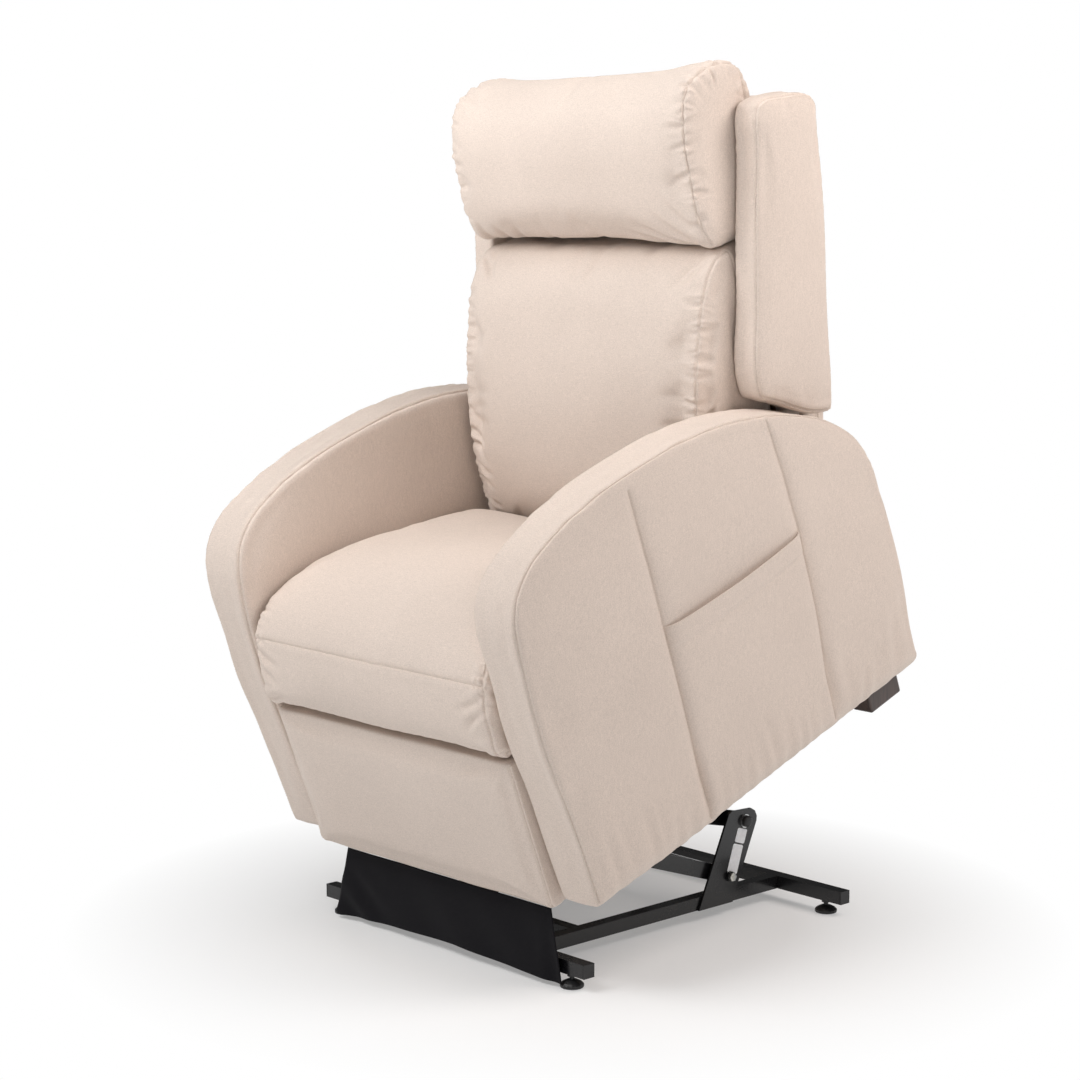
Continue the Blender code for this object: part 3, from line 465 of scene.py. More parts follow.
# ---------------------------------------------------------------------------------------------- materials
class Surface:
    """A material with short ways to add and join its nodes."""

    def __init__(self, name, **constants):
        self.material = bpy.data.materials.new(name)
        self.material.use_nodes = True
        self.tree = self.material.node_tree
        self.tree.nodes.clear()
        self.shader = self.add("BsdfPrincipled")
        output = self.add("OutputMaterial")
        self.tree.links.new(self.shader.outputs[0], output.inputs["Surface"])
        for key, value in constants.items():
            self.shader.inputs[key.replace("_", " ")].default_value = value
        self.coordinates = self.add("TexCoord")

    def add(self, kind, inputs=None, **settings):
        node = self.tree.nodes.new("ShaderNode" + kind)
        for key, value in settings.items():
            setattr(node, key, value)
        for key, value in (inputs or {}).items():
            self.join(value, node.inputs[key])
        return node

    def join(self, value, socket):
        if isinstance(value, bpy.types.NodeSocket):
            self.tree.links.new(value, socket)
        elif isinstance(value, bpy.types.Node):
            self.tree.links.new(value.outputs[0], socket)
        else:
            socket.default_value = value

    def math(self, operation, a, b=0.5):
        return self.add("Math", {0: a, 1: b}, operation=operation)

    def vector(self, operation, a, b=(0, 0, 0), scale=None):
        inputs = {0: a, 1: b} if scale is None else {0: a, "Scale": scale}
        return self.add("VectorMath", inputs, operation=operation)

    def mapped(self, scale=(1, 1, 1), turn=0.0):
        return self.add("Mapping", {"Vector": self.coordinates.outputs["Object"], "Scale": scale,
                                    "Rotation": (turn, 0, 0)})

    def noise(self, scale, detail=3.0, vector=None, roughness=0.55):
        made = self.add("TexNoise", {"Vector": vector or self.coordinates.outputs["Object"], "Scale": scale,
                                     "Detail": detail, "Roughness": roughness})
        return made.outputs["Fac"]

    def ramp(self, value, low, high, start=0.0, end=1.0):
        """Value from start to end, carried to low to high."""
        made = self.add("MapRange", {"Value": value, "From Min": start, "From Max": end, "To Min": low,
                                     "To Max": high})
        return made.outputs["Result"]

    def tint(self, colour, *factors):
        """The colour times each factor."""
        total = factors[0]
        for factor in factors[1:]:
            total = self.math("MULTIPLY", total, factor)
        scaled = self.vector("SCALE", colour, scale=total.outputs[0] if hasattr(total, "outputs") else total)
        self.join(scaled, self.shader.inputs["Base Color"])

    def mixed(self, factor, first, second):
        made = self.add("Mix", {0: factor}, data_type="RGBA")
        self.join(first, made.inputs[6])
        self.join(second, made.inputs[7])
        return made.outputs[2]

    def bump(self, height, strength, distance, under=None):
        inputs = {"Height": height, "Strength": strength, "Distance": distance}
        if under is not None:
            inputs["Normal"] = under
        made = self.add("Bump", inputs).outputs[0]
        self.join(made, self.shader.inputs["Normal"])
        return made

    def weave(self, pitch, turn):
        """The height, 0 to 1, of a plain weave drawn on whichever plane the surface lies nearest."""
        at = self.add("Mapping", {"Vector": self.coordinates.outputs["Object"], "Rotation": (-turn, 0, 0)})
        wander = self.add("TexNoise", {"Vector": at, "Scale": 90.0, "Detail": 1.0})
        shifted = self.vector("ADD", at, self.vector("SCALE", wander.outputs["Color"], scale=0.0011))
        wave = self.vector("ABSOLUTE", self.vector("SINE", self.vector("SCALE", shifted,
                                                                      scale=math.pi / pitch)))
        normal = self.coordinates.outputs["Normal"]
        facing = self.add("Mapping", {"Vector": normal, "Rotation": (-turn, 0, 0)}, vector_type="NORMAL")
        squared = self.vector("MULTIPLY", facing, facing)
        weight = self.vector("MULTIPLY", squared, squared)
        parts = self.add("SeparateXYZ", {0: wave})
        x, y, z = parts.outputs
        pairs = self.add("CombineXYZ", {0: self.math("MULTIPLY", y, z), 1: self.math("MULTIPLY", x, z),
                                        2: self.math("MULTIPLY", x, y)})
        total = self.vector("DOT_PRODUCT", weight, (1, 1, 1)).outputs["Value"]
        shown = self.vector("DOT_PRODUCT", weight, pairs).outputs["Value"]
        return self.math("DIVIDE", shown, total).outputs[0]


def upholstery(name, colour, turn):
    """Fine plain-woven polyester with pale and dark flecks in its yarn and a soft nap."""
    s = Surface(name, Roughness=0.9, Sheen_Weight=0.28, Sheen_Roughness=0.45, Sheen_Tint=(1.0, 0.93, 0.86, 1),
                Specular_IOR_Level=0.25)
    weave = s.weave(0.0013, turn)
    fleck = s.noise(620, 2.0)
    yarn = s.noise(1.0, 2.0, s.mapped((90, 420, 1500), -turn))
    cross = s.noise(1.0, 2.0, s.mapped((1500, 380, 80), -turn))
    mottle = s.noise(5.0, 3.0)
    # The weave's hollows are painted darker than its crowns, which is painted shade. The flecks, yarn streaks,
    # cross streaks and mottle are the cloth's own tone.
    s.tint(colour, s.ramp(weave, 0.90, 1.045), s.ramp(fleck, 0.90, 1.09, 0.32, 0.68),
           s.ramp(yarn, 0.955, 1.04, 0.3, 0.7), s.ramp(cross, 0.965, 1.035, 0.3, 0.7),
           s.ramp(mottle, 0.972, 1.025, 0.3, 0.7))
    s.join(s.ramp(fleck, 0.82, 0.98), s.shader.inputs["Roughness"])
    height = s.math("ADD", s.math("MULTIPLY", weave, 0.75), s.math("MULTIPLY", s.noise(1300, 1.0), 0.5))
    coarse = s.bump(s.noise(38, 4.0), 0.10, 0.004)
    s.bump(height, 0.38, 0.00045, coarse)
    return s.material


def powder_coat(name, colour=(0.0050, 0.0050, 0.0058, 1), gloss=0.24):
    """Gloss black powder coat over steel: orange peel, handling haze and fine dust."""
    s = Surface(name, Metallic=0.0, Coat_Weight=0.25, Coat_Roughness=0.12, Specular_IOR_Level=0.40)
    haze = s.noise(14, 5.0)
    speck = s.noise(900, 1.0)
    s.tint(colour[:3], s.ramp(haze, 0.8, 1.35, 0.3, 0.7), s.ramp(speck, 0.85, 1.25, 0.3, 0.7))
    s.join(s.ramp(haze, gloss - 0.05, gloss + 0.13, 0.3, 0.7), s.shader.inputs["Roughness"])
    s.bump(s.noise(430, 2.0), 0.10, 0.0004)
    return s.material


def zinc_plate(name):
    """Bright zinc on bolts, washers and motor rods, with its faint blue and yellow passivation."""
    s = Surface(name, Metallic=1.0)
    patch = s.noise(60, 3.0)
    s.join(s.mixed(s.ramp(patch, 0, 1, 0.35, 0.65), (0.55, 0.57, 0.60, 1), (0.63, 0.62, 0.57, 1)),
           s.shader.inputs["Base Color"])
    turned = s.noise(1.0, 2.0, s.mapped((900, 900, 60)))
    s.join(s.ramp(turned, 0.22, 0.42, 0.3, 0.7), s.shader.inputs["Roughness"])
    s.bump(turned, 0.12, 0.0002)
    return s.material


def moulded(name, colour, rough=0.45):
    """Moulded plastic with a fine spark-eroded grain."""
    s = Surface(name, Specular_IOR_Level=0.5)
    cloud = s.noise(22, 3.0)
    grain = s.noise(1500, 2.0)
    s.tint(colour, s.ramp(cloud, 0.88, 1.12, 0.3, 0.7), s.ramp(grain, 0.9, 1.1, 0.3, 0.7))
    s.join(s.ramp(grain, rough - 0.06, rough + 0.1, 0.3, 0.7), s.shader.inputs["Roughness"])
    s.bump(grain, 0.2, 0.00025)
    return s.material


def lacquered_wood(name):
    """Dark brown lacquer over close-grained wood."""
    s = Surface(name, Coat_Weight=0.4, Coat_Roughness=0.2)
    grain = s.noise(1.0, 4.0, s.mapped((260, 260, 14)))
    pore = s.noise(1.0, 2.0, s.mapped((1400, 1400, 60)))
    s.join(s.mixed(s.ramp(grain, 0, 1, 0.35, 0.65), (0.030, 0.017, 0.013, 1), (0.060, 0.034, 0.026, 1)),
           s.shader.inputs["Base Color"])
    s.join(s.ramp(pore, 0.30, 0.5, 0.3, 0.7), s.shader.inputs["Roughness"])
    s.bump(pore, 0.15, 0.0003)
    return s.material


def plywood(name):
    """Plain birch plywood: pale faces with long grain, and darker glue lines through its edges."""
    s = Surface(name)
    grain = s.noise(1.0, 4.0, s.mapped((30, 16, 240)))
    plies = s.add("TexWave", {"Vector": s.mapped((1, 1, 1)), "Scale": 120.0, "Distortion": 0.6},
                  wave_type="BANDS", bands_direction="X")
    board = s.mixed(s.ramp(grain, 0, 1, 0.3, 0.7), (0.50, 0.34, 0.19, 1), (0.68, 0.51, 0.32, 1))
    s.join(s.mixed(s.ramp(plies.outputs["Fac"], 0, 0.4), board, (0.30, 0.18, 0.09, 1)),
           s.shader.inputs["Base Color"])
    s.join(s.ramp(grain, 0.6, 0.8), s.shader.inputs["Roughness"])
    s.bump(grain, 0.2, 0.0006)
    return s.material


def nonwoven(name):
    """Matt black spun-bonded cloth with its pressed dot pattern."""
    s = Surface(name, Sheen_Weight=0.03, Sheen_Roughness=0.6, Specular_IOR_Level=0.12)
    fibre = s.noise(1.0, 4.0, s.mapped((700, 500, 900)))
    dots = s.weave(0.0024, 0.0)
    s.tint((0.0068, 0.0064, 0.0084), s.ramp(fibre, 0.75, 1.35, 0.3, 0.7), s.ramp(dots, 0.92, 1.06))
    s.join(s.ramp(fibre, 0.75, 0.95), s.shader.inputs["Roughness"])
    s.bump(s.math("ADD", fibre, dots), 0.22, 0.0005)
    return s.material


def sewing_thread(name):
    """Bonded polyester thread a shade paler than the cloth, with its twist."""
    s = Surface(name, Roughness=0.6, Sheen_Weight=0.2)
    twist = s.add("TexWave", {"Vector": s.coordinates.outputs["Object"], "Scale": 900.0, "Distortion": 1.5},
                  bands_direction="DIAGONAL")
    s.tint((0.66, 0.56, 0.47), s.ramp(twist.outputs["Fac"], 0.86, 1.08))
    s.bump(twist.outputs["Fac"], 0.3, 0.0002)
    return s.material


def label_paper(name):
    """A blank white polyester label with a slight satin."""
    s = Surface(name, Coat_Weight=0.2)
    cloud = s.noise(160, 3.0)
    s.tint((0.80, 0.81, 0.83), s.ramp(cloud, 0.93, 1.04, 0.3, 0.7))
    s.join(s.ramp(cloud, 0.3, 0.45), s.shader.inputs["Roughness"])
    s.bump(s.noise(900, 1.0), 0.05, 0.0002)
    return s.material


CLOTH = upholstery("oatmeal_upholstery", (0.700, 0.597, 0.527), SEAT_TILT)
THREAD = sewing_thread("topstitch_thread")
SKIRT = nonwoven("black_nonwoven")
LABEL = label_paper("blank_label")
FINISHES = {
    "fabric": CLOTH,
    "black_steel": powder_coat("gloss_black_powder_coat"),
    "zinc": zinc_plate("bright_zinc"),
    "black_plastic": moulded("moulded_black", (0.014, 0.014, 0.015)),
    "grey_plastic": moulded("moulded_grey", (0.17, 0.17, 0.18), 0.4),
    "dark_wood": lacquered_wood("dark_lacquered_wood"),
    "plywood": plywood("birch_plywood"),
    "skirt_cloth": SKIRT,
}


def finish_frame():
    """Gives each CAD node the finish of its material slot in the record."""
    slots = {part["node"]: part["material_slot"] for part in frame["record"]["subparts"]}
    for name, obj in frame["nodes"].items():
        finish = FINISHES[slots[name]]
        if not obj.data.materials:
            obj.data.materials.append(finish)
        for index in range(len(obj.data.materials)):
            obj.data.materials[index] = finish


# ---------------------------------------------------------------------------------------------- upholstery
def soft_limit(value, limit, soft=0.006):
    """Value, eased so that it never passes limit."""
    over = np.maximum(value - (limit - soft), 0)
    return np.where(value > limit - soft, limit - soft * np.exp(-over / soft), value)


def settle(obj, body, fill, *nodes):
    """Moves a finished piece from the seat's axes to the row frame, gives it the cloth, hangs it on its body and
    hides the nodes it replaces.
    """
    obj.data.transform(SEAT)
    obj.data.materials.clear()
    obj.data.materials.append(CLOTH)
    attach(obj, body)
    if nodes:
        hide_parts(*nodes)


def sewn_rows(obj, name, rows, body):
    """The stitches of a piece, made while it is still in the seat's axes."""
    made = stitches(name, rows, surface(obj))
    made.data.transform(SEAT)
    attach(made, body)


def stuffed(name, shape, voxel, held, cap, paths=(), pressure=4.0, rounding=1, calm=0.014, reshape=None):
    """A piece of its own, remeshed and filled. held(points) says where it is fixed; the swelling dies away
    within calm of the paths, where it is sewn down; reshape(points) is a last change of its form."""
    obj = mesh_object(name, *shape)
    remesh(obj, voxel * (1))
    relax(obj, rounding)
    start = positions(obj)
    tree = surface(obj)
    inflate(obj, pressure, cap, held(start))
    swell = positions(obj) - start
    share = np.ones(len(start))
    for path in paths:
        some, across, _, past, _ = Seam(path, tree).look(start, 3 * calm)
        share[some] = np.minimum(share[some], 1 - bell(np.hypot(across, past), calm))
    place(obj, start + swell * share[:, None])
    relax(obj, 1)
    if reshape:
        place(obj, reshape(positions(obj)))
    return obj


def refine(obj, seams, reach):
    """Splits the faces within reach of the seams in four."""
    at = positions(obj)
    close = np.zeros(len(at), bool)
    for seam in seams:
        close[seam.look(at, reach)[0]] = True
    work = bmesh.new()
    work.from_mesh(obj.data)
    edges = [e for e in work.edges if close[e.verts[0].index] and close[e.verts[1].index]]
    bmesh.ops.subdivide_edges(work, edges=edges, cuts=1, use_grid_fill=True)
    work.to_mesh(obj.data)
    work.free()
    obj.data.polygons.foreach_set("use_smooth", [True] * len(obj.data.polygons))


def seams_on(obj, paths, wide=0.012, finest=0.0050):
    """Subdivides the piece, most of all near its seams, and lays them on it."""
    subdivide(obj)
    tree = surface(obj)
    seams = [Seam(path, tree) for path in paths]
    refine(obj, seams, wide)
    refine(obj, seams, finest)
    relax(obj, 1)
    return seams


def make_seat_cushion():
    line = outline(SEAT_PAD)
    shape = sweep(line, -SEAT_HALF - 0.002, SEAT_HALF + 0.002, 0.009)
    front = [(-0.276, -0.030, 0.384), (0.276, -0.030, 0.384)]
    roll = [rim(line, sign * (SEAT_HALF - 0.002), 0.003, lambda y, z: (y < 0.03) & (z < 0.425))
            for sign in (1, -1)]
    tuck = [(-0.270, -0.020, 0.262), (0.270, -0.020, 0.262)]

    def held(at):
        under = (at[:, 2] < 0.306) & (at[:, 1] > 0.03)
        return under | (at[:, 1] > 0.495) | ((at[:, 1] > 0.015) & (at[:, 2] < 0.30))

    def reshape(at):
        at[:, 0] = np.sign(at[:, 0]) * soft_limit(np.abs(at[:, 0]), TOUCH)
        at[:, 1] = soft_limit(at[:, 1], 0.5085)
        return at

    obj = stuffed("seat_cushion_cover", shape, 0.0072, held, 0.012, reshape=reshape)
    seams = seams_on(obj, [front, *roll, tuck])
    at, out = positions(obj), np.zeros(len(obj.data.vertices))
    rng = np.random.default_rng(11)
    lumps(at, out, 0.22, 0.0035, 5)
    sew(at, out, seams[0], depth=0.0017, width=0.0018, puff=0.0008, spread=0.010)
    gathers(at, out, seams[0], rng, spacing=0.012, reach=0.034, depth=0.0030, width=0.0035,
            strength=lambda t: np.clip(np.abs(2 * t - 1) * 8 - 7, 0, 1))
    for seam in seams[1:3]:
        sew(at, out, seam, depth=0.0026, width=0.0022, puff=0.0010)
        gathers(at, out, seam, rng, spacing=0.014, reach=0.034, depth=0.0026, width=0.0036, lean=0.35,
                strength=lambda t: 0.5 + 0.8 * abs(2 * t - 1))
    sew(at, out, seams[3], depth=0.0018, width=0.0026, puff=0.0008)
    gathers(at, out, seams[3], rng, spacing=0.045, reach=0.03, depth=0.0010, width=0.006)
    normals = normals_of(obj)
    for sign in (1, -1):
        edge = sign * 0.287
        folds(at, out, normals, [
            ((edge, -0.030, 0.372), (sign * 0.225, -0.034, 0.340), 0.0065, 0.0040, 0.004 * sign),
            ((edge, -0.031, 0.350), (sign * 0.235, -0.036, 0.310), 0.0060, 0.0036, -0.003),
            ((edge, -0.024, 0.268), (sign * 0.215, -0.032, 0.286), 0.0065, 0.0042, 0.003),
            ((edge, -0.010, 0.262), (sign * 0.240, -0.030, 0.262), 0.0055, 0.0032, 0.0),
            ((edge, 0.012, 0.400), (sign * 0.248, 0.030, 0.404), 0.0070, 0.0020, 0.004),
        ])
    displace(obj, out)
    clipped(obj, 0, -TOUCH, TOUCH)
    sewn_rows(obj, "seat_front_stitching", [(seams[0], 0.0045, 0.004, seams[0].length - 0.004)], "seat")
    settle(obj, "seat", 0.75, "seat_cushion")


def back_cushion(node, points, sides, low_z, high_z, seed, fold_lines, strength, fill, lift=None):
    """One of the two cushions of the backrest: a soft front and boxed sides that gather along their seams.
    sides(y, z) says where the side seams run, and strength(share of the run) how much they gather there."""
    line = outline(points)
    shape = sweep(line, -BACK_HALF - 0.002, BACK_HALF + 0.002, 0.012)
    rims = [rim(line, sign * (BACK_HALF - 0.004), 0.0058, sides) for sign in (1, -1)]

    def held(at):
        lean = at[:, 1] - 0.665 - (at[:, 2] - 0.185) * math.tan(math.radians(14.4))
        return lean > -0.006

    def reshape(at):
        room = 0.2840 + 0.006 * np.clip((0.66 - at[:, 1]) / 0.03, 0, 1)  # in front of the wings there is more
        at[:, 0] = np.sign(at[:, 0]) * soft_limit(np.abs(at[:, 0]), room, 0.003)
        at[:, 2] = soft_limit(at[:, 2], high_z, 0.004)
        at[:, 2] = -soft_limit(-at[:, 2], -low_z, 0.004)
        return at if lift is None else lift(at)

    obj = stuffed(f"{node}_cover", shape, 0.0074, held, 0.013, rims, calm=0.010, reshape=reshape)
    if lift is not None:
        rims = [lift(path) for path in rims]
    seams = seams_on(obj, rims, wide=0.028)
    at, out = positions(obj), np.zeros(len(obj.data.vertices))
    rng = np.random.default_rng(seed)
    lumps(at, out, 0.20, 0.0040, seed)
    for seam in seams:
        sew(at, out, seam, depth=0.0021, width=0.0019, puff=0.0013)
        gathers(at, out, seam, rng, spacing=0.020, reach=0.024, depth=0.0012, width=0.0030, lean=0.22,
                start=0.02, end=seam.length - 0.02, strength=strength)
        gathers(at, out, seam, rng, spacing=0.034, reach=0.044, depth=0.0022, width=0.0050, lean=0.25,
                start=0.02, end=seam.length - 0.02, strength=strength)
    folds(at, out, normals_of(obj), fold_lines)
    displace(obj, out)
    clipped(obj, 0, -BACK_TOUCH, BACK_TOUCH)
    clipped(obj, 2, low_z, high_z)
    sewn_rows(obj, f"{node}_stitching", [(seam, 0.0042, 0.01, seam.length - 0.01) for seam in seams], "back")
    settle(obj, "back", fill, node)


def make_back_cushions():
    lower_folds = []
    corner_pulls = [(0.42, 0.050, 0.0040), (0.45, 0.055, 0.0044), (0.478, 0.050, 0.0042),
                    (0.505, 0.042, 0.0034), (0.535, 0.034, 0.0026), (0.395, 0.046, 0.0038),
                    (0.37, 0.040, 0.0034)]  # height, length and depth
    for sign in (1, -1):
        # The fabric pulls down and inwards to each lower corner, and puckers under the head cushion.
        for k, (z, long, deep) in enumerate(corner_pulls):
            y = 0.515 + (z - 0.40) * 0.17
            bend = 0.003 * (-1) ** k
            front_end = (sign * (0.272 - long), y - 0.008, z - 0.014 - 0.002 * k)
            lower_folds.append(((sign * 0.272, y, z + 0.006), front_end, 0.0048, 1.2 * deep, bend))
            side_end = (sign * 0.284, y + 0.004, z + 0.009)
            lower_folds.append(((sign * 0.284, y + 0.062, z + 0.044), side_end, 0.0050, 1.4 * deep, bend))
        lower_folds.append(((sign * 0.262, 0.66, 0.772), (sign * 0.225, 0.625, 0.748), 0.0055, 0.0036, 0.003))
        lower_folds.append(((sign * 0.240, 0.662, 0.776), (sign * 0.215, 0.625, 0.745), 0.0055, 0.0028,
                            -0.002))
    back_cushion("lower_back_cushion", LOWER_BACK, lambda y, z: (y < 0.700) & (z > 0.325), 0.309, 0.7905, 21,
                 lower_folds, lambda t: 0.3 + 1.4 * (t < 0.45) + 0.2 * (t > 0.9), 0.8)
    head_folds = [((-0.250, 0.690, 0.798), (-0.240, 0.655, 0.845), 0.0065, 0.0048, 0.003),
                  ((-0.218, 0.690, 0.798), (-0.202, 0.656, 0.840), 0.0065, 0.0044, -0.003),
                  ((-0.178, 0.690, 0.798), (-0.155, 0.655, 0.834), 0.0070, 0.0034, 0.003),
                  ((-0.100, 0.690, 0.798), (-0.085, 0.656, 0.828), 0.0085, 0.0020, 0.002),
                  ((0.02, 0.690, 0.798), (0.03, 0.656, 0.828), 0.0100, 0.0014, 0.002),
                  ((0.268, 0.684, 0.803), (0.155, 0.654, 0.840), 0.0060, 0.0056, 0.005),
                  ((0.268, 0.680, 0.815), (0.190, 0.654, 0.866), 0.0060, 0.0050, 0.004),
                  ((0.268, 0.672, 0.835), (0.215, 0.654, 0.892), 0.0055, 0.0040, 0.003),
                  ((0.245, 0.695, 0.800), (0.110, 0.655, 0.824), 0.0070, 0.0044, 0.004),
                  ((-0.272, 0.715, 1.048), (-0.225, 0.695, 1.038), 0.0080, 0.0036, 0.004),
                  ((0.12, 0.72, 1.06), (0.10, 0.69, 1.035), 0.0140, 0.0018, 0.002)]

    def lift(at):
        """The stuffing stands higher at the left end of the head cushion, with an ear at each corner."""
        at = np.array(at, float)
        x = at[:, 0]
        rise = 0.003 + 0.030 * x + 0.008 * bell(x - 0.235, 0.05) + 0.005 * bell(x + 0.245, 0.03)
        at[:, 2] += rise * np.clip((at[:, 2] - 0.93) / 0.11, 0, 1)
        return at

    back_cushion("head_cushion", HEAD, lambda y, z: (y < 0.80) & (z > 0.806) | (z > 1.03), 0.7925, 1.2, 22,
                 head_folds, lambda t: 0.9 + 0.8 * (0.1 < t < 0.6), 0.7, lift)


def make_wings():
    line = outline(WING)
    for side, sign in (("left", 1), ("right", -1)):
        low, high = sorted((sign * (WING_INNER + 0.0005), sign * WING_OUTER))
        shape = sweep(line, low, high, 0.0050, crown=0.0010)
        outer = rim(line, sign * (WING_OUTER - 0.002), 0.002, lambda y, z: np.full(len(y), True))
        inner = rim(line, sign * (WING_INNER + 0.003), 0.002, lambda y, z: (z > 0.94) | (z < 0.52))
        outer = np.vstack([outer, outer[:1]])

        def held(at):
            return (np.abs(at[:, 0]) < WING_INNER + 0.004) | (at[:, 2] < 0.50)

        def reshape(at):
            at[:, 0] = sign * -soft_limit(-np.abs(at[:, 0]), -0.2862, 0.001)
            return at

        obj = stuffed(f"wing_{side}_cover", shape, 0.0060, held, 0.006, [outer], calm=0.008, reshape=reshape)
        seams = seams_on(obj, [outer, inner])
        at, out = positions(obj), np.zeros(len(obj.data.vertices))
        lumps(at, out, 0.16, 0.0022, 33 + sign)
        for seam in seams:
            sew(at, out, seam, depth=0.0022, width=0.0018, puff=0.0010, spread=0.009)
        displace(obj, out)
        at = positions(obj)
        at[:, 0] = sign * np.maximum(np.abs(at[:, 0]), 0.2857)
        place(obj, at)
        sewn_rows(obj, f"wing_{side}_stitching", [(seams[0], 0.0045, 0.0, seams[0].length),
                                                  (seams[0], -0.0045, 0.0, seams[0].length)], "back")
        settle(obj, "back", 0.8, f"wing_{side}")


def make_back_shell():
    """The outer back's cover, which folds forwards over the top of the frame."""
    line = outline(BACK_SHELL)
    shape = sweep(line, -SEAT_HALF + 0.0005, SEAT_HALF - 0.0005, 0.006)
    low, high = (0.736, 0.20), (0.914, 0.915)  # the rear panel's lower and upper edge, in y and z
    panel = [(-0.262, *low), (-0.262, *high), (0.262, *high), (0.262, *low)]

    def held(at):
        front = at[:, 1] - 0.710 - (at[:, 2] - 0.150) * math.tan(math.radians(14.2))
        return (front < 0.002) | (at[:, 2] < 0.16) | (at[:, 2] > 0.955)

    def reshape(at):
        at[:, 0] = np.clip(at[:, 0], -BACK_TOUCH, BACK_TOUCH)
        return at

    sides = [panel[:2], panel[1:3], panel[2:]]
    obj = stuffed("back_shell_cover", shape, 0.0080, held, 0.008, sides, pressure=2.5, reshape=reshape)
    seams = seams_on(obj, sides)
    at, out = positions(obj), np.zeros(len(obj.data.vertices))
    rng = np.random.default_rng(41)
    lumps(at, out, 0.25, 0.0022, 42)
    for seam in seams:
        sew(at, out, seam, depth=0.0024, width=0.0019, puff=0.0011, spread=0.010)
        gathers(at, out, seam, rng, spacing=0.05, reach=0.045, depth=0.0007, width=0.006)
    displace(obj, out)
    place(obj, reshape(positions(obj)))
    rows = [(seam, -0.005, 0.004, seam.length - 0.004) for seam in seams]
    sewn_rows(obj, "back_shell_stitching", rows, "back")
    settle(obj, "back", 0.6, "back_shell")


def make_back_borders():
    """The padded cloth border down each side of the back, between its cushions and its outer cover."""
    line = outline(BACK_BORDER)
    for side, sign in (("left", 1), ("right", -1)):
        low, high = sorted((sign * 0.2645, sign * 0.2825))
        obj = mesh_object(f"back_border_{side}", *sweep(line, low, high, 0.004, crown=0.0010))
        remesh(obj, 0.0045)
        relax(obj, 1)
        subdivide(obj)
        at, out = positions(obj), np.zeros(len(obj.data.vertices))
        lumps(at, out, 0.12, 0.0015, 71 + sign)
        displace(obj, out)
        settle(obj, "back", 0.5)


def make_footrest_pad():
    """The upholstered footrest panel: a pad over its board, in one cover."""
    line = outline(FOOTREST)
    shape = sweep(line, -SEAT_HALF - 0.005, SEAT_HALF + 0.005, 0.0055)
    front, edge = -0.0210, 0.2845
    border = [(-edge, front, 0.244), (-edge, front, -0.011), (edge, front, -0.011), (edge, front, 0.244)]
    border.append(border[0])
    sides = [border[i:i + 2] for i in range(4)]

    def held(at):
        return at[:, 1] > 0.004

    def reshape(at):
        at[:, 0] = np.clip(at[:, 0], -TOUCH, TOUCH)
        at[:, 1] = soft_limit(at[:, 1], 0.0212, 0.001)
        at[:, 2] = soft_limit(at[:, 2], 0.2510, 0.002)
        return at

    obj = stuffed("footrest_pad_cover", shape, 0.0064, held, 0.010, sides, pressure=3.0, calm=0.010,
                  reshape=reshape)
    seams = seams_on(obj, sides)
    at, out = positions(obj), np.zeros(len(obj.data.vertices))
    lumps(at, out, 0.24, 0.0022, 52)
    for seam in seams[:3]:
        sew(at, out, seam, depth=0.0020, width=0.0018, puff=0.0008, spread=0.009)
    displace(obj, out)
    clipped(obj, 1, high=0.0214)
    clipped(obj, 2, high=0.2515)
    rows = [(seam, 0.0045, 0.004, seam.length - 0.004) for seam in seams[:3]]
    sewn_rows(obj, "footrest_pad_stitching", rows, "footrest_panel")
    settle(obj, "footrest_panel", 0.7, "footrest_pad", "footrest_board")


def seam_y(table, z):
    return np.interp(z, [t[1] for t in table], [t[0] for t in table])


def arm_bulge(at, sign):
    """The padding of an arm's front stands forwards, and leans in over the seat."""
    at = np.array(at, float)
    share = np.interp(at[:, 2], [b[0] for b in BULGE_AT], [b[1] for b in BULGE_AT])
    ahead = np.clip(1 - at[:, 1] / 0.20, 0, 1) ** 1.5
    at[:, 1] -= BULGE * share * ahead
    inner = np.clip((ARM_INNER + 0.05 - np.abs(at[:, 0])) / 0.05, 0, 1)
    lean = 0.010 * bell(at[:, 2] - 0.50, 0.065) * ahead * inner
    at[:, 0] -= sign * lean
    return at


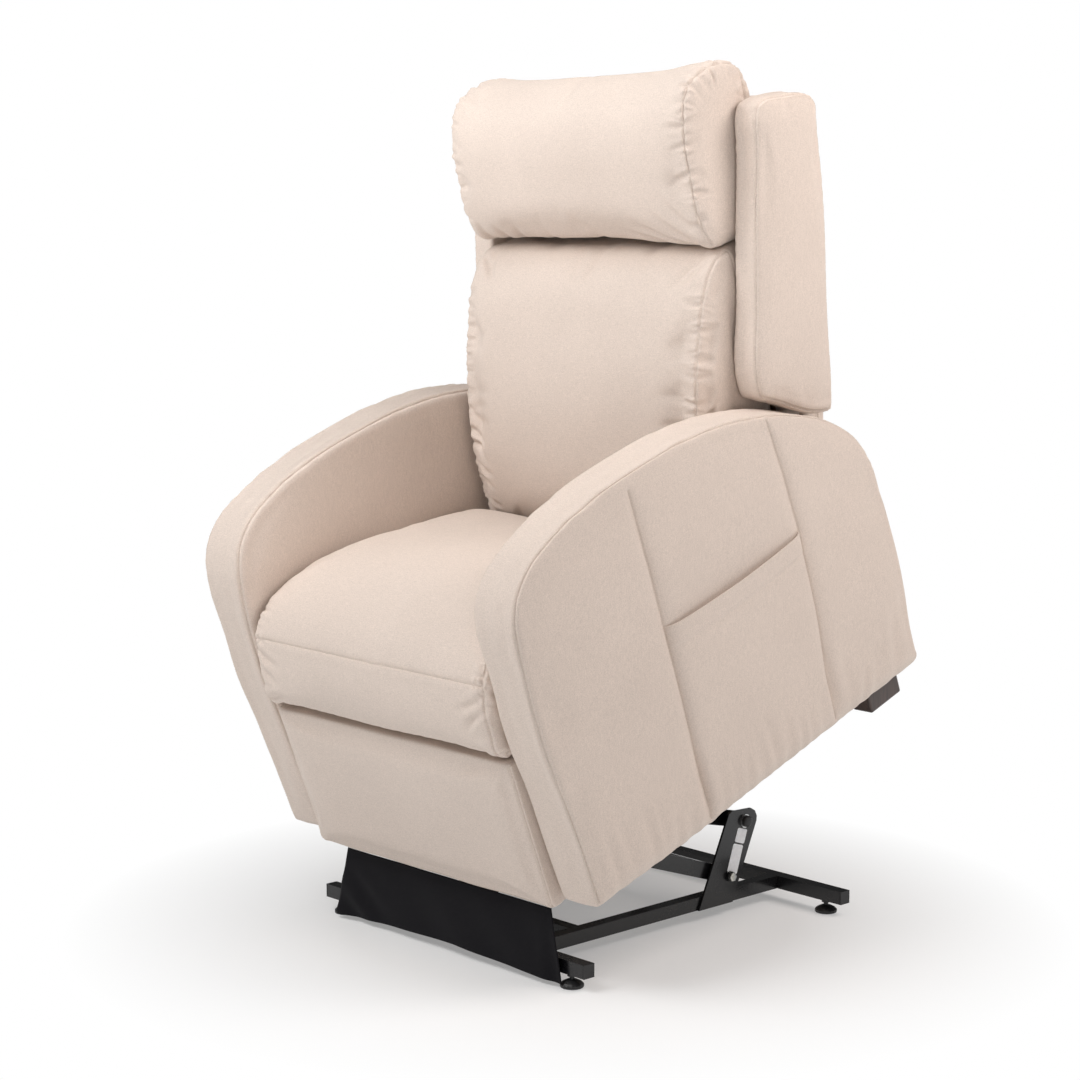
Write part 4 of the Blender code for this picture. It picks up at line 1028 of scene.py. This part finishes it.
def make_arm(side, sign):
    line = outline(ARM, 0.008)
    low, high = sorted((sign * ARM_INNER, sign * ARM_OUTER))
    shape = sweep(line, low, high, 0.006, crown=0.006)
    outer, inner = (rim(line, sign * x, 0.002, lambda y, z: (z > 0.004) & ((y < 0.79) | (z > 0.02)))
                    for x in (ARM_OUTER - 0.002, ARM_INNER + 0.002))
    uprights = [[(sign * ARM_OUTER, y, z) for y, z in table] for table in (FRONT_SEAM, REAR_SEAM)]
    uprights = [resampled(path, 0.01)[1:-1] for path in uprights]
    paths = [outer, inner, *uprights]

    def held(at):
        return (at[:, 2] < 0.010) | ((np.abs(at[:, 0]) < ARM_INNER + 0.003) & (at[:, 2] < 0.38))

    def reshape(at):
        at[:, 0] = sign * -soft_limit(-np.abs(at[:, 0]), -0.2915, 0.001)
        return arm_bulge(at, sign)

    obj = stuffed(f"arm_{side}_cover", shape, 0.0088, held, 0.008, paths, pressure=3.0, calm=0.011,
                  reshape=reshape)
    seams = seams_on(obj, [arm_bulge(path, sign) for path in paths], wide=0.010, finest=0.0045)
    at, out = positions(obj), np.zeros(len(obj.data.vertices))
    rng = np.random.default_rng(61 + sign)
    lumps(at, out, 0.22, 0.0022, 63 + sign)
    for seam in seams:
        sew(at, out, seam, depth=0.0023, width=0.0018, puff=0.0010, spread=0.009)
    pulls = []
    for y in np.arange(0.05, 0.76, 0.033):
        y0 = y + rng.normal(0, 0.006)
        pulls.append(((sign * ARM_OUTER, y0, 0.0), (sign * ARM_OUTER, y0 + rng.normal(0.012, 0.012),
                      rng.uniform(0.05, 0.14)), rng.uniform(0.007, 0.012), rng.uniform(0.0012, 0.0032),
                      rng.normal(0, 0.003)))
    folds(at, out, normals_of(obj), pulls)
    displace(obj, out)
    clipped(obj, 2, low=0.0)  # the underside comes down close to the base's tubes
    rows = [(seams[0], sign * 0.0050, 0.003, seams[0].length - 0.003),
            (seams[1], -sign * 0.0050, 0.003, seams[1].length - 0.003)]
    rows += [(seam, 0.0045, 0.003, seam.length - 0.003) for seam in seams[2:]]
    sewn_rows(obj, f"arm_{side}_stitching", rows, "seat")
    make_pocket(side, sign, surface(obj))
    if sign < 0:
        make_well(obj)
    settle(obj, "seat", 0.6, f"arm_cover_{side}")


def make_well(obj):
    """Presses the right arm's cover in round the handset, which lies in the pocket."""
    at = positions(obj)
    y, low, high = HANDSET
    beside = np.maximum(np.abs(at[:, 1] - y) - 0.030, 0)
    above = np.maximum(np.maximum(low - 0.006 - at[:, 2], at[:, 2] - high - 0.006), 0)
    share = bell(np.hypot(beside, above), 0.008) * (at[:, 0] < -0.34)
    floor = -0.3625
    at[:, 0] = np.where(at[:, 0] < floor, at[:, 0] + share * (floor - at[:, 0]), at[:, 0])
    place(obj, at)


def make_pocket(side, sign, tree):
    """A flat pocket on the arm's outer face, open along its hemmed top edge."""
    columns, rows = 72, 84
    points = np.zeros((rows + 1, columns + 1, 3))
    for j in range(rows + 1):
        v = j / rows
        for i in range(columns + 1):
            u = i / columns
            top = POCKET_TOP + 0.003 * u - 0.010 * math.sin(math.pi * u) * 0.25
            z = 0.006 + (top - 0.006) * v
            left, right = seam_y(FRONT_SEAM, z) - 0.0005, seam_y(REAR_SEAM, z) + 0.0005
            y = left + (right - left) * u
            hit = tree.ray_cast(Vector((sign * 0.5, y, z)), Vector((-sign, 0, 0)))[0]
            x = abs(hit[0]) if hit else ARM_OUTER
            edge = min(u, 1 - u) * (right - left)
            rise = 1 - math.exp(-edge / 0.006)
            slack = 0.0062 * math.sin(math.pi * u) ** 0.7 * v**5 + 0.0012
            above = z - (top - POCKET_HEM)
            hem = 0.0016 * (1 / (1 + math.exp(-above / 0.0012))) - 0.0034 * bell(above, 0.0022)
            points[j, i] = sign * (x - 0.0008 + rise * (0.0026 + slack + hem)), y, z
    obj = mesh_object(f"arm_pocket_{side}", points.reshape(-1, 3), grid_faces(rows, columns))
    if obj.data.polygons[0].normal.x * sign < 0:
        obj.data.flip_normals()
    wall = obj.modifiers.new("Thickness", "SOLIDIFY")
    wall.thickness, wall.offset = 0.0022, -1
    rounded = obj.modifiers.new("Hem", "BEVEL")
    rounded.width, rounded.segments, rounded.limit_method = 0.0009, 2, "ANGLE"
    apply_modifiers(obj)
    hem_line = [(sign * 0.384, y, 0.3085 + 0.003 * (y - 0.28) / 0.32) for y in np.linspace(0.270, 0.592, 40)]
    seam = Seam(hem_line, surface(obj))
    sewn_rows(obj, f"arm_pocket_{side}_stitching", [(seam, 0.0, 0.0, seam.length)], "seat")
    obj.data.transform(SEAT)
    obj.data.materials.append(CLOTH)
    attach(obj, "seat")


def make_skirt():
    """The black cloth between the base's front feet that hides the mechanism."""
    columns, rows = 120, 34
    low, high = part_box("front_skirt")
    floor = [(-0.271, 0.0065), (-0.12, 0.013), (0.03, 0.017), (0.16, 0.012), (0.278, 0.0065)]
    face, wide = low.y - 0.001, SKIRT_FOOT[1] - SKIRT_FOOT[0]
    points = []
    for j in range(rows + 1):
        v = j / rows
        x0, x1 = (foot + (head - foot) * v for foot, head in zip(SKIRT_FOOT, SKIRT_HEAD))
        for i in range(columns + 1):
            u = i / columns
            x = x0 + (x1 - x0) * u
            bottom = np.interp(x0 + wide * u, [f[0] for f in floor], [f[1] for f in floor])
            z = bottom + (high.z - bottom) * v
            wave = 0.0016 * math.sin(9 * u + 2.0) + 0.0011 * math.sin(23 * u + 5 * v)
            corner = math.exp(-(((u - 0.08) / 0.10) ** 2)) * (1 - v) ** 1.5
            crease = 0.0040 * corner * math.sin(38 * (u + 0.35 * v) + 1.0)
            right = math.exp(-(((u - 0.965) / 0.035) ** 2)) * (1 - v)
            points.append((x, face - 0.0015 - (wave + 0.0010) * (0.3 + 0.7 * (1 - v)) - crease
                           - 0.0050 * right * math.sin(30 * u), z))
    obj = mesh_object("front_skirt_cloth", points, grid_faces(rows, columns))
    wall = obj.modifiers.new("Thickness", "SOLIDIFY")
    wall.thickness, wall.offset = 0.0008, 0
    apply_modifiers(obj)
    obj.data.materials.append(SKIRT)
    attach(obj, "root")
    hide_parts("front_skirt")
    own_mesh(obj)


def rounded_card(name, corners, thick, radius=0.0015):
    """A thin card with rounded corners, from its four corners in order."""
    work = bmesh.new()
    work.faces.new([work.verts.new(c) for c in corners])
    mesh = bpy.data.meshes.new(name)
    bmesh.ops.bevel(work, geom=list(work.verts), offset=radius, segments=4, affect="VERTICES")
    work.to_mesh(mesh)
    work.free()
    obj = bpy.data.objects.new(name, mesh)
    bpy.context.scene.collection.objects.link(obj)
    wall = obj.modifiers.new("Thickness", "SOLIDIFY")
    wall.thickness, wall.offset = thick, 0
    apply_modifiers(obj)
    obj.data.polygons.foreach_set("use_smooth", [False] * len(obj.data.polygons))
    return obj


def make_labels():
    """Two blank labels on the outside of the left pivot bracket."""
    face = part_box("pivot_bracket_left")[1].x + 0.00025
    for name, corners in LABELS.items():
        obj = rounded_card(name, [(face, y, z) for y, z in corners], 0.0003)
        obj.data.materials.append(LABEL)
        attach(obj, "root")


def turned(name, profile, centre, sides, finish, body):
    """A small part turned about x with that many sides: profile is (radius, x) from its outer end inwards."""
    points, faces = [], []
    for radius, x in profile:
        points += [(x, centre[0] + radius * math.cos(a), centre[1] + radius * math.sin(a))
                   for a in np.arange(sides) * 2 * math.pi / sides]
    for ring in range(len(profile) - 1):
        faces += [(ring * sides + i, ring * sides + (i + 1) % sides, (ring + 1) * sides + (i + 1) % sides,
                   (ring + 1) * sides + i) for i in range(sides)]
    faces += [tuple(range(sides)), tuple(range((len(profile) - 1) * sides, len(profile) * sides))]
    obj = mesh_object(name, points, faces, smooth=False)
    obj.data.materials.append(FINISHES[finish])
    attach(obj, body)


def make_bolt_ends():
    """The black cap over each upper pivot bolt, and the hexagon nut on each end of the shaft below it."""
    for side, sign in (("left", 1), ("right", -1)):
        bolt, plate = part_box(f"upper_pivot_bolt_{side}"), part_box(f"pivot_bracket_{side}")
        outside = max(abs(bolt[0].x), abs(bolt[1].x))
        face = max(abs(plate[0].x), abs(plate[1].x))
        centre = ((bolt[0].y + bolt[1].y) / 2, (bolt[0].z + bolt[1].z) / 2)
        cap = [(0.0030, 0.0032), (0.0070, 0.0026), (0.0094, 0.0008), (0.0100, -0.0014), (0.0100, -0.0050)]
        turned(f"bolt_cap_{side}", [(radius, sign * (outside + x)) for radius, x in cap], centre, 28,
               "black_plastic", "root")
        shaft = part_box("torque_tube")
        end = max(face, shaft[1].x) + 0.0004
        middle = next(joint["pos_m"] for joint in frame["joints"] if joint["name"] == "lift")
        nut = [(0.0050, 0.0052), (0.0072, 0.0050), (0.0080, 0.0042), (0.0080, 0.0)]
        turned(f"shaft_nut_{side}", [(radius, sign * (end + x)) for radius, x in nut], middle[1:], 6,
               "zinc", "lift_links")


# ---------------------------------------------------------------------------------------------- studio
AMBIENT = 0.06
WARM = (1.0, 0.93, 0.89)


def make_floor():
    work = bmesh.new()
    bmesh.ops.create_grid(work, x_segments=2, y_segments=2, size=40)
    mesh = bpy.data.meshes.new("studio_floor")
    work.to_mesh(mesh)
    work.free()
    floor = bpy.data.objects.new("studio_floor", mesh)
    bpy.context.scene.collection.objects.link(floor)
    floor.location.z = -0.0006
    mesh.materials.append(floor_white())


def floor_white():
    """Pale paper under the chair with a painted glow mixed in: a little near the chair, which lifts its shadow,
    and all of it from about 0.85 m out, where the floor glows as white as an overlit studio backdrop.
    """
    s = Surface("pale_floor_painted_glow", Roughness=0.85, Specular_IOR_Level=0.1)
    s.tint((0.90, 0.90, 0.90), s.ramp(s.noise(3.0), 0.995, 1.005))
    away = s.vector("LENGTH", s.coordinates.outputs["Object"]).outputs["Value"]
    # Painted glow: white emission mixed into the floor. A share of 0.28 within 0.38 m of the middle lightens the
    # chair's shadow, and the share rises to all of it past 0.85 m.
    painted_glow = s.add("Emission", {"Color": (1, 1, 1, 1), "Strength": 1.0})
    share = s.ramp(away, 0.28, 1.0, 0.38, 0.85)
    mixed = s.add("MixShader", {0: share, 1: s.shader.outputs[0], 2: painted_glow.outputs[0]})
    output = next(node for node in s.tree.nodes if node.type == "OUTPUT_MATERIAL")
    s.tree.links.new(mixed.outputs[0], output.inputs["Surface"])
    return s.material


def sun(name, direction, angle, strength, colour=(1, 1, 1)):
    """A broad soft light from that direction, strength being what it gives a white surface that faces it."""
    light = bpy.data.lights.new(name, "SUN")
    light.angle = math.radians(angle)
    light.energy = strength * math.pi
    light.color = colour
    obj = bpy.data.objects.new(name, light)
    obj.rotation_euler = Vector(direction).to_track_quat("Z", "Y").to_euler()
    bpy.context.scene.collection.objects.link(obj)


def soft_box(name, location, target, size, power, colour=(1, 1, 1)):
    """A square studio light."""
    light = bpy.data.lights.new(name, "AREA")
    light.shape, light.size, light.energy = "SQUARE", size, power
    light.color = colour
    obj = bpy.data.objects.new(name, light)
    obj.location = location
    obj.rotation_euler = (Vector(location) - Vector(target)).to_track_quat("Z", "Y").to_euler()
    bpy.context.scene.collection.objects.link(obj)


def make_studio():
    """White all round, with the light from overhead and from the camera's left."""
    make_floor()
    world = bpy.data.worlds.new("studio_white")
    bpy.context.scene.world = world
    world.use_nodes = True
    tree = world.node_tree
    seen = tree.nodes.new("ShaderNodeLightPath").outputs["Is Camera Ray"]
    strength = tree.nodes.new("ShaderNodeMapRange")
    strength.inputs["To Min"].default_value = AMBIENT
    strength.inputs["To Max"].default_value = 1.0
    tree.links.new(seen, strength.inputs["Value"])
    tree.links.new(strength.outputs["Result"], tree.nodes["Background"].inputs["Strength"])
    tree.nodes["Background"].inputs["Color"].default_value = (1, 1, 1, 1)
    soft_box("right_light", (1.9, 0.9, 2.5), (0.2, 0.1, 0.9), 1.4, 46, WARM)
    soft_box("front_light", (-0.35, -1.7, 2.3), (0, 0, 1.1), 1.3, 40)
    soft_box("top_light", (0.1, -0.2, 2.7), (0, 0, 0.6), 1.8, 11)
    sun("fill_light", (0.7, -0.7, 0.5), 60, 0.11, WARM)
    bpy.context.scene.view_settings.view_transform = "Standard"


def make_camera():
    camera = bpy.data.cameras.new("camera")
    camera.lens = 87.6
    camera.sensor_width = 36
    camera.clip_end = 200
    obj = bpy.data.objects.new("camera", camera)
    obj.location = (3.1353, -3.0012, 1.2815)
    back = Vector((0.7223, -0.6763, 0.1443))
    obj.rotation_mode = "QUATERNION"
    obj.rotation_quaternion = (-back).to_track_quat("-Z", "Y")
    bpy.context.scene.collection.objects.link(obj)
    bpy.context.scene.camera = obj


finish_frame()
make_seat_cushion()
make_back_cushions()
make_wings()
make_back_shell()
make_back_borders()
make_footrest_pad()
for arm_side, arm_sign in (("left", 1), ("right", -1)):
    make_arm(arm_side, arm_sign)
make_skirt()
make_labels()
make_bolt_ends()
make_studio()
make_camera()
